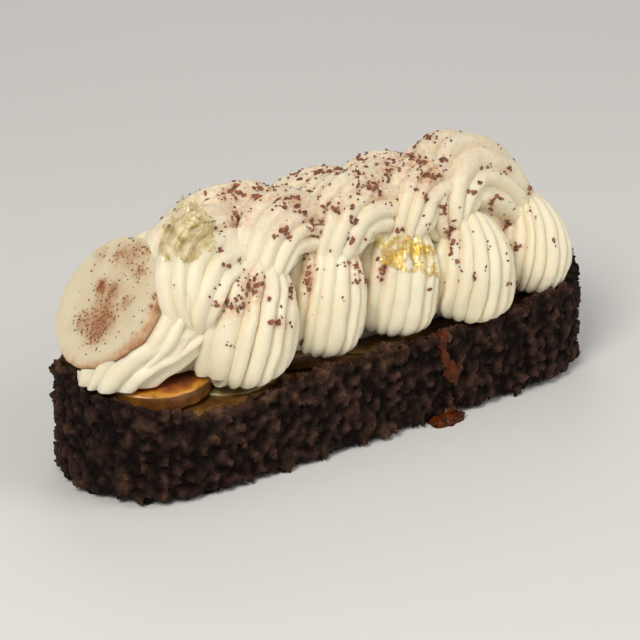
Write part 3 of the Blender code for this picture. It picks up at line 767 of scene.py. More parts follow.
def dustDisc(disc, standing):
    # stains the standing slice, paints shade along its lower edge, and lays specks of cocoa on it
    matrix = standing.to_matrix()
    centre = banana["discCentre"]
    radius = banana["discRadius"]
    values = []
    for vert in disc.data.vertices:
        local = matrix.transposed() @ (vert.co - centre)
        u, v = local.x / mm, local.y / mm
        total = 0
        for up, across, spread, strength, count in banana["dustings"]:
            total += strength * math.exp(-((u - up) ** 2 + (v - across) ** 2) / (2 * spread * spread))
        # painted shade along the edge, on its lower side only
        edge = smoothStep((local.xy.length / radius - 0.93) / 0.06)
        values.append(total + edge * 0.5 * smoothStep(-(u + v) / 18))
    writeValues(disc.data, "dustAndEdgeShade", values)
    random.seed(5)
    bm = bmesh.new()
    normal = matrix @ Vector((0, 0, 1))
    for up, across, spread, strength, count in banana["dustings"]:
        for k in range(count):
            spot = Vector((random.gauss(up, spread), random.gauss(across, spread), 0)) * mm
            if spot.length > radius - 0.5 * mm:
                continue
            spot.z = banana["discThickness"] / 2
            size = banana["speckSize"] * random.uniform(0.12, 0.30) * mm
            addShard(bm, 1, size, centre + matrix @ spot, normal, 0)
    cocoa = newFinish("cocoaSpeck", {"Base Color": (*banana["speck"], 1), "Roughness": 0.7})[0]
    addPiece(meshFrom("cocoaSpecks", bm, None, cocoa, soft=False), "chocolate_crumb")


def makeBananas():
    lying = Euler((banana["tip"], 0, 0))
    rooms = newCollection("sliceRooms")
    size = banana["sliceRadius"], banana["sliceThickness"]
    for i, (along, up) in enumerate(banana["slices"]):
        centre = Vector((along * mm, banana["sliceY"], up * mm))
        finish = makeSoakedFinish("bananaSoakedShaded%d" % (i + 1), *banana["looks"][i])
        lain = makeSlice("bananaSlice%d" % (i + 1), *size, centre, lying, finish)
        addPiece(lain, "banana", "banana_slice_%d" % (i + 1))
        makeSlice("room%d" % i, *size, centre, lying, None, rooms, banana["slack"])
    standing = Euler((0, banana["discLean"] - math.pi / 2, 0))
    radius, thickness = banana["discRadius"], banana["discThickness"]
    disc = makeSlice("bananaDisc", radius, thickness, banana["discCentre"], standing, makeDustedFinish())
    dustDisc(disc, standing)
    addPiece(disc, "banana", "banana_disc")
    wider = radius + banana["edgeGap"]
    makeSlice("discRoom", wider, thickness, banana["discCentre"], standing, None, rooms, banana["discSlack"])
    return rooms, standing


# Crumb case

case = {
    "length": 129.6 * mm,
    "width": 42.4 * mm,
    "wall": 4.6 * mm,
    "floor": 8 * mm,
    "rimAtEnds": 24.0 * mm,
    "rimOnSides": 20.4 * mm,
    "rimDip": 3.0 * mm,
    "rimDipCentre": -38 * mm,
    "rimDipWidth": 9 * mm,
    "rimRiseStart": 26 * mm,
    "outlinePoints": 300,
    "rows": 22,
    "rimRounding": 1.4 * mm,
    "rimBulge": 1.7 * mm,
    "sunk": 1.8 * mm,  # how far the core lies inside the crumbs' outer faces
    "crumbKinds": 9,
    "covers": (  # name, detail of a crumb, room between two, how thickly strewn, least and most radius, seed
        ("lump", 3, 2.0 * mm, 450000, 0.9 * mm, 1.9 * mm, 5),
        ("clump", 2, 1.1 * mm, 600000, 0.45 * mm, 1.0 * mm, 9),
    ),
    "loose": ("looseCrumb", 1, 0.86 * mm, 700000, 0.2 * mm, 0.55 * mm, 14),
    "pressed": 0.4 * mm,  # how finely the crumbs are fused into one crust
    "kept": 0.4,  # the share of its faces that the crust keeps
    "looks": {"Roughness": 0.65, "Specular IOR Level": 0.1},
    "tones": ((0.130, 0.064, 0.042), (0.038, 0.0165, 0.010), 1.9 * mm, 2.6),
    # lighter than the crust's tones, a painted highlight on the loose crumbs
    "looseHighlightTones": ((0.165, 0.088, 0.062), (0.048, 0.022, 0.014), 1.9 * mm, 2.6),
    "skin": (0.7 * mm, 0.34 * mm, 0.9),
    # the painted shade, nearly black, deep between the lumps
    "paintedCreviceShade": (0.005, 0.002, 0.0012),
}


def rimHeight(x, y):
    left = 1 - smoothStep((x + case["length"] / 2) / (0.14 * case["length"]))
    right = smoothStep((x - case["rimRiseStart"]) / (case["length"] / 2 - case["rimRiseStart"]))
    height = case["rimOnSides"] + (case["rimAtEnds"] - case["rimOnSides"]) * max(left, right)
    if y < 0:
        height -= case["rimDip"] * (1 - smoothStep(abs(x - case["rimDipCentre"]) / (2 * case["rimDipWidth"])))
    return height


def outline(radius, count):
    # points round an oblong with fully round ends, a circle pulled apart at its middle
    half = case["length"] / 2 - case["width"] / 2
    arc = math.pi * case["width"] / 2
    whole = 4 * half + 2 * arc
    points = []
    for i in range(count):
        along = whole * i / count
        if along < 2 * half:
            points.append(Vector((-half + along, -radius, 0)))
        elif along < 2 * half + arc:
            turn = (along - 2 * half) / arc * math.pi - math.pi / 2
            points.append(Vector((half + radius * math.cos(turn), radius * math.sin(turn), 0)))
        elif along < 4 * half + arc:
            points.append(Vector((half - (along - 2 * half - arc), radius, 0)))
        else:
            turn = (along - 4 * half - arc) / arc * math.pi + math.pi / 2
            points.append(Vector((-half + radius * math.cos(turn), radius * math.sin(turn), 0)))
    return points


def caseCore(finish):
    # walls with a rounded rim over the floor, all of it sunk inwards for the crumbs
    sunk = case["sunk"]
    radius = case["width"] / 2
    top = case["rimAtEnds"]
    rows = case["rows"]
    shoulder = top - case["rimRounding"]
    profile = [(sunk, sunk + (shoulder - sunk) * k / rows) for k in range(rows + 1)]
    for a in (25, 50, 75, 105, 130, 155):
        turn = math.radians(a)
        across = case["wall"] / 2 * (1 - math.cos(turn))
        profile.append((max(across, sunk), shoulder + case["rimBulge"] * math.sin(turn) - sunk))
    inner = case["wall"] - 0.2 * mm
    profile += [(inner, top - 1.6 * mm - k * (top - case["floor"]) / 10) for k in range(9)]
    bm = bmesh.new()
    count = case["outlinePoints"]
    rings = []
    for inset, z in profile:
        ring = []
        for point in outline(radius - inset, count):
            above = max(z - case["floor"], 0)
            lifted = z + above * ((rimHeight(point.x, point.y) - case["floor"]) / (top - case["floor"]) - 1)
            ring.append(bm.verts.new((point.x, point.y, lifted)))
        rings.append(ring)
    bridge(bm, rings, capped=True)
    return meshFrom("core", bm, None, finish)


def makeCrumbFinish(name, tones):
    # dark brown on the lumps, with painted shade, nearly black, deep between them
    finish, tree, shader, tone = newFinish(name, case["looks"], tones, case["skin"])
    shaded = blend(tree, valueOf(tree, "proud"), (*case["paintedCreviceShade"], 1), tone)
    tree.links.new(shaded, shader["Base Color"])
    return finish


def makeCrumbKinds(name, detail, count):
    # lumps of radius 1, each its own shape
    group = newCollection(name)
    for k in range(count):
        random.seed(name + str(k))
        bm = bmesh.new()
        bmesh.ops.create_icosphere(bm, subdivisions=detail, radius=1)
        shift = Vector((random.uniform(0, 50), 0, 0))
        flat = Vector((random.uniform(0.8, 1.3), random.uniform(0.6, 1.0), random.uniform(0.5, 0.9)))
        for vert in bm.verts:
            lump = noise.noise(1.2 * vert.co + shift) + 0.5 * noise.noise(2.9 * vert.co + shift)
            vert.co = vert.co * (1 + 0.62 * lump) * flat
        meshFrom("%s%d" % (name, k), bm, group)
    return group


def markProud(mesh):
    # how far each point stands out of the crust: 0 deep between the lumps and 1 on top of them; it sets the
    # painted shade between the lumps
    half = case["length"] / 2 - case["width"] / 2
    outer = case["width"] / 2
    inner = outer - case["wall"]
    values = []
    for vert in mesh.vertices:
        x, y, z = vert.co
        across = math.hypot(x - min(max(x, -half), half), y)
        out = max(across - outer, z - rimHeight(x, y), inner - across)
        values.append(smoothStep((out + 1.7 * mm) / (2.2 * mm)))
    writeValues(mesh, "proud", values)


def makeCrumbTree():
    # scatters lumps over a surface, half sunk in it and none below the table
    sizes = {
        "Kinds": "Collection", "Gap": "Float", "Density": "Float", "Smallest": "Float", "Largest": "Float",
        "Seed": "Int", "Crumb": "Material",
    }
    tree, source, sink = newGeometryTree("crumbCover", sizes)
    spread = {
        "Mesh": source["Geometry"], "Distance Min": source["Gap"], "Density Max": source["Density"],
        "Seed": source["Seed"],
    }
    spots = addNode(tree, "GeometryNodeDistributePointsOnFaces", spread, distribute_method="POISSON")
    apart = {"Collection": source["Kinds"], "Separate Children": True, "Reset Children": True}
    kinds = addNode(tree, "GeometryNodeCollectionInfo", apart)
    range1 = {2: source["Smallest"], 3: source["Largest"], "Seed": source["Seed"]}
    size = addNode(tree, "FunctionNodeRandomValue", range1, data_type="FLOAT")
    turns = {"Max": (6.283, 6.283, 6.283), "Seed": 3}
    turn = addNode(tree, "FunctionNodeRandomValue", turns, data_type="FLOAT_VECTOR")
    spun = addNode(tree, "FunctionNodeEulerToRotation", {"Euler": turn.outputs[0]})
    picked = {
        "Points": spots.outputs["Points"], "Instance": kinds.outputs[0], "Pick Instance": True,
        "Rotation": spun.outputs[0], "Scale": size.outputs[1],
    }
    lumps = addNode(tree, "GeometryNodeInstanceOnPoints", picked).outputs[0]
    plain = reshaped(tree, "GeometryNodeRealizeInstances", lumps)
    place = addNode(tree, "GeometryNodeInputPosition").outputs[0]
    raised = vector1(tree, "MAXIMUM", place, (-1.0, -1.0, 0.0))
    level = reshaped(tree, "GeometryNodeSetPosition", plain, {"Position": raised})
    soft = reshaped(tree, "GeometryNodeSetShadeSmooth", level)
    tree.links.new(reshaped(tree, "GeometryNodeSetMaterial", soft, {"Material": source["Crumb"]}), sink)
    return tree


def strewn(surface, tree, cover, finish):
    name, detail, gap, density, smallest, largest, seed = cover
    kinds = makeCrumbKinds(name, detail, case["crumbKinds"])
    values = {
        "Kinds": kinds, "Gap": gap, "Density": float(density), "Smallest": smallest, "Largest": largest,
        "Seed": seed, "Crumb": finish,
    }
    mesh = runTree(surface, tree, values)
    removeAll(kinds.objects)
    return mesh


def makeCase():
    finish = makeCrumbFinish("crust", case["tones"])
    core = caseCore(finish)
    tree = makeCrumbTree()
    bm = bmesh.new()
    bm.from_mesh(core.data)
    for cover in case["covers"]:
        bm.from_mesh(strewn(core, tree, cover, finish))
    bpy.data.objects.remove(core)
    crust = meshFrom("caseCrust", bm, None, finish)
    fuse = crust.modifiers.new("fuse", "REMESH")
    fuse.mode = "VOXEL"
    fuse.voxel_size = case["pressed"]
    soften = crust.modifiers.new("soften", "SMOOTH")
    soften.iterations = 2
    thin = crust.modifiers.new("thin", "DECIMATE")
    thin.ratio = case["kept"]
    mesh = evaluatedMesh(crust)
    crust.modifiers.clear()
    crust.data = mesh
    keepAbove(mesh.vertices)
    mesh.materials.clear()
    mesh.materials.append(finish)
    mesh.shade_smooth()
    markProud(mesh)
    looseFinish = makeCrumbFinish("looseCrumb", case["looseHighlightTones"])
    loose = newObject("caseCrumbs", strewn(crust, tree, case["loose"], looseFinish))
    markProud(loose.data)
    addPiece(loose, "chocolate_crumb")
    addPiece(crust, "chocolate_crumb", "crumb_case")
    return crust


# Toffee in the case, and the run of it down the front

toffee = {
    "level": 17.8 * mm,
    "runs": (  # films over the front of the crust as (x, z, half width) from top to bottom, in millimetres
        ((14.0, 21.0, 1.3), (14.5, 19.0, 1.2), (15.1, 16.6, 1.2), (15.9, 14.0, 1.4), (16.9, 11.6, 1.9),
         (18.0, 9.4, 1.6), (18.7, 7.6, 0.8)),
        ((14.8, 0.6, 1.2), (17.2, 0.9, 1.9), (19.6, 1.4, 1.1)),
    ),
    "film": 0.5 * mm,  # how far it stands off the crumbs
    "filmThickness": 0.3 * mm,
    "pools": (  # at the foot of the run as (x, y), then half length, half width and height, in millimetres
        (16.6, -20.2, 2.9, 3.0, 2.2), (14.0, -20.2, 2.2, 2.7, 1.5), (18.8, -20.2, 1.5, 2.3, 1.5),
    ),
    "poolCrumbs": 6,
    "poolCrumbSize": Vector((1.2, 1.0, 0.8)),
    "looks": {
        "Roughness": 0.36, "Subsurface Weight": 0.2, "Subsurface Scale": 1.2 * mm,
        "Subsurface Radius": (1.0, 0.35, 0.08), "Coat Roughness": 0.15,
    },
    "filling": ((0.22, 0.11, 0.024), (0.07, 0.024, 0.005), 3 * mm, 2.6),
    "drip": ((0.135, 0.024, 0.002), (0.035, 0.008, 0.001), 3 * mm, 2.6),
    "gloss": {"toffee": 0.15, "toffeeDrip": 0.05},
}


def makeToffeeFinish(name, tones):
    gloss = toffee["gloss"][name]
    looks = {**toffee["looks"], "Specular IOR Level": 0.1 + gloss, "Coat Weight": gloss}
    return newFinish(name, looks, tones)[0]


def makeToffee():
    # its surface curves up a little towards the wall
    radius = case["width"] / 2 - case["wall"] + 0.4 * mm
    level = toffee["level"]
    rows = [(radius, case["floor"])]
    for inset, rise in ((0, 0.6), (0.15, 0.3), (0.5, 0.12), (1.1, 0.04), (2, 0), (3.2, 0)):
        rows.append((radius - inset * mm, level + rise * mm))
    bm = bmesh.new()
    bridge(bm, [[bm.verts.new((p.x, p.y, z)) for p in outline(r, 160)] for r, z in rows], capped=True)
    filling = meshFrom("toffeeFilling", bm, None, makeToffeeFinish("toffee", toffee["filling"]))
    addPiece(filling, "toffee", "toffee")


def insideRun(x, z):
    # how far inside the nearest film a place on the front lies, less than nothing when outside
    best = -1
    for run in toffee["runs"]:
        for (x0, z0, w0), (x1, z1, w1) in zip(run, run[1:]):
            span = (x1 - x0) ** 2 + (z1 - z0) ** 2
            t = min(max(((x - x0) * (x1 - x0) + (z - z0) * (z1 - z0)) / span, 0), 1)
            away = math.hypot(x - x0 - t * (x1 - x0), z - z0 - t * (z1 - z0))
            best = max(best, w0 + t * (w1 - w0) - away)
    return best


def makeRun(crust):
    # a film of toffee that clings to the crumbs, thin at its uneven edge
    bm = bmesh.new()
    bm.from_mesh(crust.data)
    gone = []
    depth = bm.verts.layers.float.new("depth")
    for vert in bm.verts:
        x, y, z = vert.co / mm
        vert[depth] = -1
        if y < -15 and 8 < x < 28:
            vert[depth] = insideRun(x, z) + 0.7 * noise.noise(Vector((x, 0, z)) * 0.9)
        if vert[depth] < -0.3:
            gone.append(vert)
    bmesh.ops.delete(bm, geom=gone, context="VERTS")
    bmesh.ops.subdivide_edges(bm, edges=bm.edges[:], cuts=1, use_grid_fill=True)
    relax(bm, 12)
    for vert in bm.verts:
        share = smoothStep((vert[depth] + 0.3) / 0.9)
        vert.co += Vector((0, -1, 0.15)) * (toffee["film"] * share - 0.05 * mm)
        vert.co.z = max(vert.co.z, 0.05 * mm)
    film = meshFrom("film", bm)
    mesh = thickened(film, toffee["filmThickness"], 0)
    bpy.data.objects.remove(film)
    bm = bmesh.new()
    bm.from_mesh(mesh)
    for x, y, *size in toffee["pools"]:
        pool = bmesh.ops.create_uvsphere(bm, u_segments=32, v_segments=12, radius=1)["verts"]
        for vert in pool:
            vert.co *= 1 + 0.35 * noise.noise(1.3 * vert.co + Vector((x, y, 0)))
        bmesh.ops.scale(bm, verts=pool, vec=Vector(size) * mm)
        bmesh.ops.translate(bm, verts=pool, vec=Vector((x, y, 0)) * mm)
    keepAbove(bm.verts)
    finish = makeToffeeFinish("toffeeDrip", toffee["drip"])
    addPiece(meshFrom("toffeeRun", bm, None, finish), "toffee")


def makePoolCrumbs(finish):
    # crumbs of the crust that lie in the pool
    random.seed(8)
    bm = bmesh.new()
    for x, y, length, width, height in toffee["pools"]:
        for k in range(toffee["poolCrumbs"]):
            turn = random.uniform(-2.9, -0.2)
            out = random.uniform(0.55, 1.0)
            rise = height * math.sqrt(max(1 - out * out, 0))
            across, along = out * math.cos(turn), out * math.sin(turn)
            spot = Vector((x + length * across, y + width * along, rise + 0.2)) * mm
            size = toffee["poolCrumbSize"] * random.uniform(0.2, 0.5) * mm
            addShard(bm, 2, size, spot, Vector((0, 0, 1)), 0)
    keepAbove(bm.verts)
    crumbs = meshFrom("poolCrumbs", bm, None, finish)
    # the crumbs in the pool get a fixed part of the painted shade
    writeValues(crumbs.data, "proud", [0.6] * len(crumbs.data.vertices))
    addPiece(crumbs, "chocolate_crumb")


# Chocolate on the cream: milk chocolate flakes and small dark crumbs

flakes = {
    "fallFrom": direction(-36, 24),  # for the clusters on the front and the crest
    "clusters": (  # x, y and z on the cream, spread across and up, flakes, crumbs, lengths in millimetres
        (-23.5, 2, 53.2, 0.9, 0.7, 5, 6), (-22.2, 2, 54, 0.8, 0.5, 4, 4),
        (-18.3, -0.8, 52.7, 0.6, 0.5, 4, 2), (-26.1, -4.7, 51, 0.6, 0.8, 6, 5),
        (-23.3, -5.1, 52.2, 0.2, 0.2, 0, 2), (-16, 1.1, 53.4, 1.4, 0.4, 3, 6),
        (-14.7, -2, 53.3, 0.2, 0.2, 1, 1), (-15.6, -7.7, 53.6, 1.2, 0.4, 6, 6),
        (-17.9, -8.8, 52.5, 0.6, 0.4, 2, 3), (-15.6, -10.8, 52.4, 0.5, 0.5, 5, 3),
        (-14.1, -11.2, 50.9, 0.2, 0.3, 2, 1), (-12.7, -7.4, 53.3, 0.2, 0.2, 1, 0),
        (-6.4, -2.2, 51.5, 0.3, 0.2, 1, 1), (-7.2, -6.1, 51.4, 0.3, 0.2, 1, 1),
        (0.7, 6.5, 51.1, 0.4, 0.3, 1, 2), (-2.7, 3.6, 50.5, 0.2, 0.6, 1, 3),
        (-2.1, 7.9, 51.1, 0.6, 0.4, 2, 4), (2.6, 5.9, 51.3, 0.8, 0.5, 3, 5),
        (-13.2, -12.2, 48.7, 0.5, 1, 6, 6), (-10.1, -11, 48.6, 0.4, 0.3, 3, 1),
        (-11.6, -12.8, 47.2, 0.2, 0.2, 1, 0), (-20.4, -12.7, 49.4, 0.6, 0.4, 5, 4),
        (-22.9, -13.5, 48.8, 0.2, 0.2, 1, 1), (-20, -13.8, 47.8, 0.2, 0.2, 1, 1),
        (-7.2, -10.1, 50.9, 1, 0.6, 3, 4), (-6.3, -10.7, 50.2, 0.4, 0.3, 3, 1),
        (-35.3, -10.8, 53.1, 0.5, 0.6, 2, 5), (-36.7, -8.4, 55, 0.4, 0.5, 1, 2),
        (-37.2, -14.3, 49.5, 0.3, 0.8, 2, 1), (-46.5, -12.8, 44, 0.2, 0.2, 0, 1),
        (-37.8, -14.9, 42.5, 0.2, 0.2, 0, 1), (-33.6, -13, 45.3, 0.7, 0.2, 2, 1),
        (-31.1, -12.7, 45.4, 0.2, 0.5, 1, 2), (-32.7, -14.8, 42, 0.3, 0.4, 1, 2),
        (-30.7, -16.7, 41.3, 0.7, 1.1, 11, 6), (-33.4, -16, 39.4, 0.6, 0.3, 1, 3),
        (-35.6, -16.5, 38.2, 1.2, 0.6, 8, 5), (-28, -18.5, 38.5, 0.3, 0.2, 1, 0),
        (-25.2, -18, 36.5, 0.2, 0.2, 0, 1), (-21.7, -17.1, 38.1, 0.3, 0.7, 4, 2),
        (-14.9, -13.2, 38.3, 0.3, 1.8, 9, 5), (-26.1, -19.5, 33.2, 0.9, 0.5, 4, 4),
        (-36.6, -17.4, 30.9, 0.4, 0.2, 1, 2), (-17.3, -14.4, 25.1, 0.3, 0.3, 2, 0),
        (-9.4, -13.8, 42.4, 0.2, 0.2, 1, 0), (-7.5, -15.3, 40.1, 0.3, 0.2, 0, 2),
        (-9.9, -17.9, 33.5, 0.2, 0.2, 0, 1), (16.2, 0, 51.4, 0.9, 0.9, 8, 7),
        (10.3, -6.2, 52.4, 0.5, 0.6, 4, 4), (3, -10.4, 52.8, 0.8, 0.8, 7, 6),
        (4.5, -11.1, 51.2, 0.5, 0.2, 3, 1), (4.3, -3.9, 53.6, 0.3, 0.7, 3, 5),
        (0.5, -9, 52.7, 0.2, 0.5, 2, 2), (6.8, 5.7, 50.4, 1.1, 0.5, 6, 9), (14.5, 8.2, 50.7, 0.6, 0.4, 3, 3),
        (-3.7, -12.9, 51, 0.3, 0.2, 2, 0), (-1.1, -12.5, 51.6, 1, 0.4, 1, 4),
        (-5, -4.8, 52.7, 0.5, 0.5, 1, 3), (-4.5, -9.3, 53.1, 0.3, 0.6, 0, 2),
        (3.5, -7.7, 53.9, 0.2, 0.2, 0, 1), (5.8, -9.4, 52.8, 0.2, 0.2, 0, 1),
        (6.5, -12.2, 48.4, 0.2, 0.2, 0, 1), (-4.4, -13.6, 48.3, 0.5, 0.3, 2, 2),
        (-3.2, -13.5, 47.6, 0.3, 0.3, 2, 0), (-5, -15.1, 44.4, 0.5, 0.4, 4, 2),
        (-1, -13.8, 43, 0.2, 0.2, 1, 0), (-7.2, -15.6, 40.1, 0.6, 0.2, 1, 3),
        (-4, -15.1, 38.5, 0.3, 0.6, 4, 1), (-4.7, -16.6, 35.9, 0.8, 0.3, 3, 4),
        (2.2, -15.7, 36.5, 0.5, 1, 8, 2), (8.5, -12.5, 42.8, 0.5, 0.3, 3, 2),
        (18.3, -3.1, 53.9, 1, 0.8, 4, 8), (16.9, -8.5, 54.4, 0.7, 0.7, 7, 5),
        (16.7, -10.8, 52.3, 0.8, 0.7, 7, 5), (19, -11.6, 52.1, 0.6, 0.4, 5, 3),
        (24.1, -7.5, 53.3, 0.6, 0.4, 3, 3), (28.1, 2.6, 54.6, 0.7, 0.6, 4, 4),
        (28.5, -4.3, 55.4, 0.3, 0.6, 1, 3), (13.2, -12.3, 50.3, 0.3, 0.3, 1, 1),
        (14.6, -13.2, 48.9, 0.2, 0.7, 3, 1), (13.5, -14.7, 45.4, 0.2, 0.2, 0, 1),
        (20, -12.9, 44.9, 0.5, 0.8, 4, 4), (21.6, -13, 40.1, 0.5, 0.7, 7, 3),
        (15.5, -13.5, 42.4, 0.3, 0.2, 1, 1), (20.9, -15.6, 38, 0.5, 0.4, 3, 2),
        (20.1, -16, 36.1, 0.2, 0.5, 2, 1), (19.5, -18.5, 35, 0.2, 0.6, 2, 2),
        (34, -9.1, 49.8, 0.6, 0.3, 2, 2), (41.3, -7.9, 47.2, 0.5, 0.4, 3, 1),
        (30.5, -12.4, 48.2, 0.4, 0.1, 1, 1), (27.4, -12.9, 47, 0.4, 0.3, 2, 0),
        (36.9, -10.6, 42.6, 0.6, 0.5, 3, 1), (33.9, -11.9, 41.9, 0.3, 0.6, 3, 1),
        (35.8, -11.7, 39.6, 0.4, 0.2, 1, 1), (40, -10.2, 35.8, 0.4, 0.8, 6, 2),
        (45.4, -11, 38.1, 0.2, 0.2, 1, 1), (45.5, -13.2, 37.1, 0.2, 0.3, 0, 1),
        (42.3, -9.4, 38.7, 0.2, 0.2, 0, 1), (49.8, -5.8, 40.3, 0.4, 0.5, 4, 2),
        (47.4, -17.2, 32.9, 0.1, 0.5, 1, 1), (40.9, -12.7, 31.6, 0.6, 0.4, 4, 2),
        (30.8, -20.8, 34.6, 0.1, 0.6, 1, 1), (27.1, -20.2, 37.1, 0.3, 0.5, 0, 3),
        (20.3, -19.2, 32.6, 0.2, 0.2, 1, 0), (19.2, -19.2, 31.3, 0.3, 0.2, 1, 0),
        (22, -21.4, 32.2, 0.3, 0.3, 2, 0), (39.7, -14.4, 23.8, 0.4, 0.3, 3, 1),
        (30.4, -22.8, 28.6, 0.3, 0.1, 1, 1), (25, -21, 33.6, 0.1, 0.4, 0, 2),
        (24.2, -13.6, 44.6, 0.2, 0.1, 0, 1),
    ),
    "behind": (  # clusters from above: where along and across, spread, flakes, crumbs
        (-33, 7, 4.0, 14, 20), (-20, 8, 4.0, 14, 24), (-8, 7, 4.0, 16, 30), (4, 6, 3.5, 16, 24),
        (16, 7, 4.0, 18, 30), (27, 8, 4.0, 16, 26), (38, 6, 4.0, 8, 20), (0, 10, 18, 18, 90),
        (0, -8, 22, 0, 110),
    ),
    "flakeSize": Vector((0.55, 0.34, 0.22)) * mm,
    "crumbSize": Vector((0.25, 0.17, 0.13)) * mm,
    "flakeShare": 1.4,  # how many more lie in each cluster than it counts
    "crumbShare": 1.5,
    "lowest": 24 * mm,
    "milk": ((0.36, 0.126, 0.054), (0.13, 0.042, 0.020), 1.1 * mm, 3.5),
    "cocoa": ((0.15, 0.065, 0.032), (0.13, 0.042, 0.020), 1.1 * mm, 3.5),
    "skin": (0.3 * mm, 0.06 * mm, 0.5),
    "stainReach": 6,  # how far behind or before a cluster it still stains, in millimetres
    "crestStain": 0.27,
}


def makeFlakes(surface):
    random.seed(11)
    big = bmesh.new()
    small = bmesh.new()

    def drop(start, towards, flake):
        hit, normal = surface.ray_cast(start, towards)[:2]
        if not hit or hit.z < flakes["lowest"]:
            return
        if flake:
            addShard(big, 1, flakes["flakeSize"] * random.uniform(0.7, 1.5), hit, normal, 0.08 * mm)
        else:
            addShard(small, 1, flakes["crumbSize"] * random.uniform(0.6, 1.6), hit, normal, 0.04 * mm)

    fall = flakes["fallFrom"]
    right, up = axesFacing(fall)
    for x, y, z, across, rise, flakeCount, crumbCount in flakes["clusters"]:
        flakeCount = round(flakes["flakeShare"] * flakeCount)
        crumbCount = round(flakes["crumbShare"] * crumbCount)
        for k in range(flakeCount + crumbCount):
            wide = 1.0 if k < flakeCount else 1.8
            aside = right * random.gauss(0, across * wide) + up * random.gauss(0, rise * wide)
            drop((Vector((x, y, z)) + aside + fall * 25) * mm, -fall, k < flakeCount)
    for x, y, spread, flakeCount, crumbCount in flakes["behind"]:
        for k in range(flakeCount + crumbCount):
            start = Vector((random.gauss(x, spread), random.gauss(y, spread), 80)) * mm
            drop(start, Vector((0, 0, -1)), k < flakeCount)
    milk = newFinish("milkChocolate", {"Roughness": 0.5}, flakes["milk"], flakes["skin"])[0]
    dark = newFinish("cocoaCrumb", {"Roughness": 0.7}, flakes["cocoa"], flakes["skin"])[0]
    addPiece(meshFrom("chocolateFlakes", big, None, milk, soft=False), "cream")
    addPiece(meshFrom("chocolateCrumbs", small, None, dark, soft=False), "cream")


def stainCream(mesh):
    # how much cocoa has rubbed off on the cream round each cluster
    fall = flakes["fallFrom"]
    right, up = axesFacing(fall)
    spots = []
    for x, y, z, across, rise, flakeCount, crumbCount in flakes["clusters"]:
        if flakeCount > 2:
            spot = Vector((x, y, z))
            reach = 1.3 * across + 0.6, 1.3 * rise + 0.6
            spots.append((spot.dot(right), spot.dot(up), *reach, 0.12 * flakeCount, y))
    values = []
    for vert in mesh.vertices:
        place = vert.co / mm
        total = 0
        u, v = place.dot(right), place.dot(up)
        for along, high, wide, tall, strength, y in spots:
            a, b = (u - along) / wide, (v - high) / tall
            if abs(a) < 3 and abs(b) < 3 and abs(place.y - y) < flakes["stainReach"]:
                total += strength * math.exp(-(a * a + b * b) / 2)
        total += flakes["crestStain"] * smoothStep((place.z - 45) / 8)
        values.append(min(total, 1))
    writeValues(mesh, "stain", values)


# Gold leaf

leaf = {
    "facing": Vector((-0.45, -0.62, 0.64)).normalized(),
    "places": (  # where, width, height, how far it stands up, how much narrower it is at its top
        (Vector((-38.6, -6.4, 52.4)) * mm, 12 * mm, 16 * mm, 1.2 * mm, 0.75),
        (Vector((11.0, -12.5, 34.8)) * mm, 14 * mm, 8 * mm, 0.9 * mm, 0.0),
    ),
    "sag": 2.4 * mm,
    "cells": 60,
    "looks": (  # light, dark, how metallic, rough and grained, how much of it covers, how sharply torn
        ((0.96, 0.87, 0.50), (0.50, 0.37, 0.11), 0.25, 0.22, 0.03 * mm, 0.34, 1.5),
        ((0.95, 0.79, 0.38), (0.74, 0.48, 0.08), 0.50, 0.36, 0.07 * mm, 0.50, 4.5),
    ),
    "folds": ((2, 1.0), (5, 0.3), (11, 0.06)),  # how many across, and how high
    "thickness": 0.06 * mm,
    "gap": 0.15 * mm,
    "patches": (2.2 * mm, 4.0),
    "grain": 1.0 * mm,
    "pits": 0.4,
    "tornScale": 340.0,
}


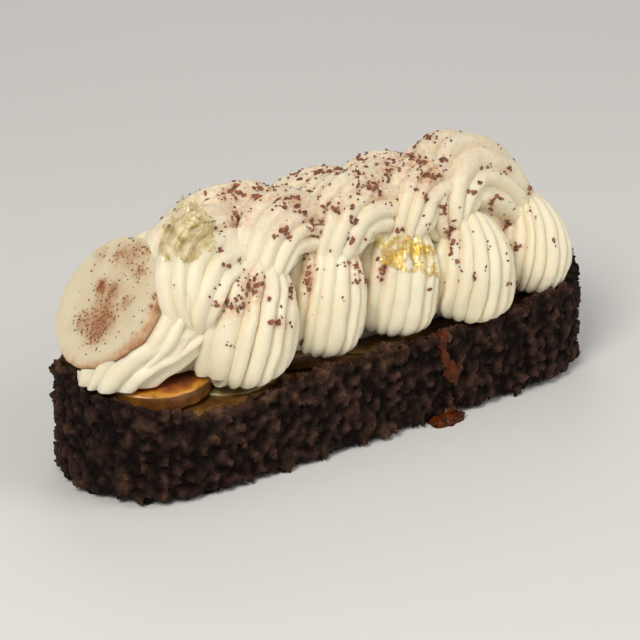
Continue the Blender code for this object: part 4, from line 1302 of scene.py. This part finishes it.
def makeLeafFinish(name, light, dark, metallic, roughness, depth, covering, torn):
    looks = {"Metallic": metallic, "Roughness": roughness}
    tones = light, dark, *leaf["patches"]
    finish, tree, shader, tone = newFinish(name, looks, tones, (leaf["grain"], depth, leaf["pits"]))
    holes = noiseOver(tree, objectPlace(tree), leaf["tornScale"])
    tree.links.new(swung(tree, holes, torn, covering, clamp=True), shader["Alpha"])
    return finish


def makeLeaf(name, surface, place, width, height, rise, taper, finish):
    # follows the cream, and stands free where the cream falls away behind it
    facing = leaf["facing"]
    right, up = axesFacing(facing)
    random.seed(name)
    shift = Vector((0, 0, 10 * random.random()))
    bm = bmesh.new()
    bmesh.ops.create_grid(bm, x_segments=leaf["cells"], y_segments=leaf["cells"], size=0.5)
    gone = []
    for vert in bm.verts:
        flat = vert.co.copy()
        ragged = 1 + 0.3 * noise.noise(3 * flat + shift)
        edge = 0.46 + 0.10 * noise.noise(5 * flat + shift) + 0.08 * noise.noise(17 * flat + shift)
        if (abs(flat.x) ** 4 + abs(flat.y) ** 4) ** 0.25 > edge:
            gone.append(vert)
        narrowed = width * ragged * (1 - 2 * taper * max(flat.y, 0))
        start = place - right * (flat.x * narrowed) + up * (flat.y * height * ragged)
        hit = surface.ray_cast(start + facing * 30 * mm, -facing)[0]
        behind = (hit - start).dot(facing) if hit else -1
        base = start + facing * max(behind, -leaf["sag"])
        fold = 0
        for k, share in leaf["folds"]:
            fold += share * abs(noise.noise(k * flat + shift))
        vert.co = base + facing * (leaf["gap"] + rise * fold)
    bmesh.ops.delete(bm, geom=gone, context="VERTS")
    relax(bm, 1)
    made = meshFrom(name, bm, None, finish, soft=False)
    made.data = thickened(made, leaf["thickness"], -1)
    return made


# Putting it together

crust = makeCase()
print("case crumbed")
makeToffee()
makeRun(crust)
makePoolCrumbs(crust.data.materials[0])
print("toffee poured")
rooms, standing = makeBananas()
print("banana laid")
whippedCream = makeCream()
carveCream(whippedCream, rooms, standing)
print("cream piped")
addPiece(whippedCream, "cream", "whipped_cream")
stainCream(whippedCream.data)
surface = surfaceOf(whippedCream)
makeFlakes(surface)
print("chocolate scattered")
for i, place in enumerate(leaf["places"]):
    name = "goldLeaf%d" % (i + 1)
    gold = makeLeafFinish(name, *leaf["looks"][i])
    addPiece(makeLeaf(name, surface, *place, gold), "gold_leaf", "gold_leaf_%d" % (i + 1))
print("gold laid")
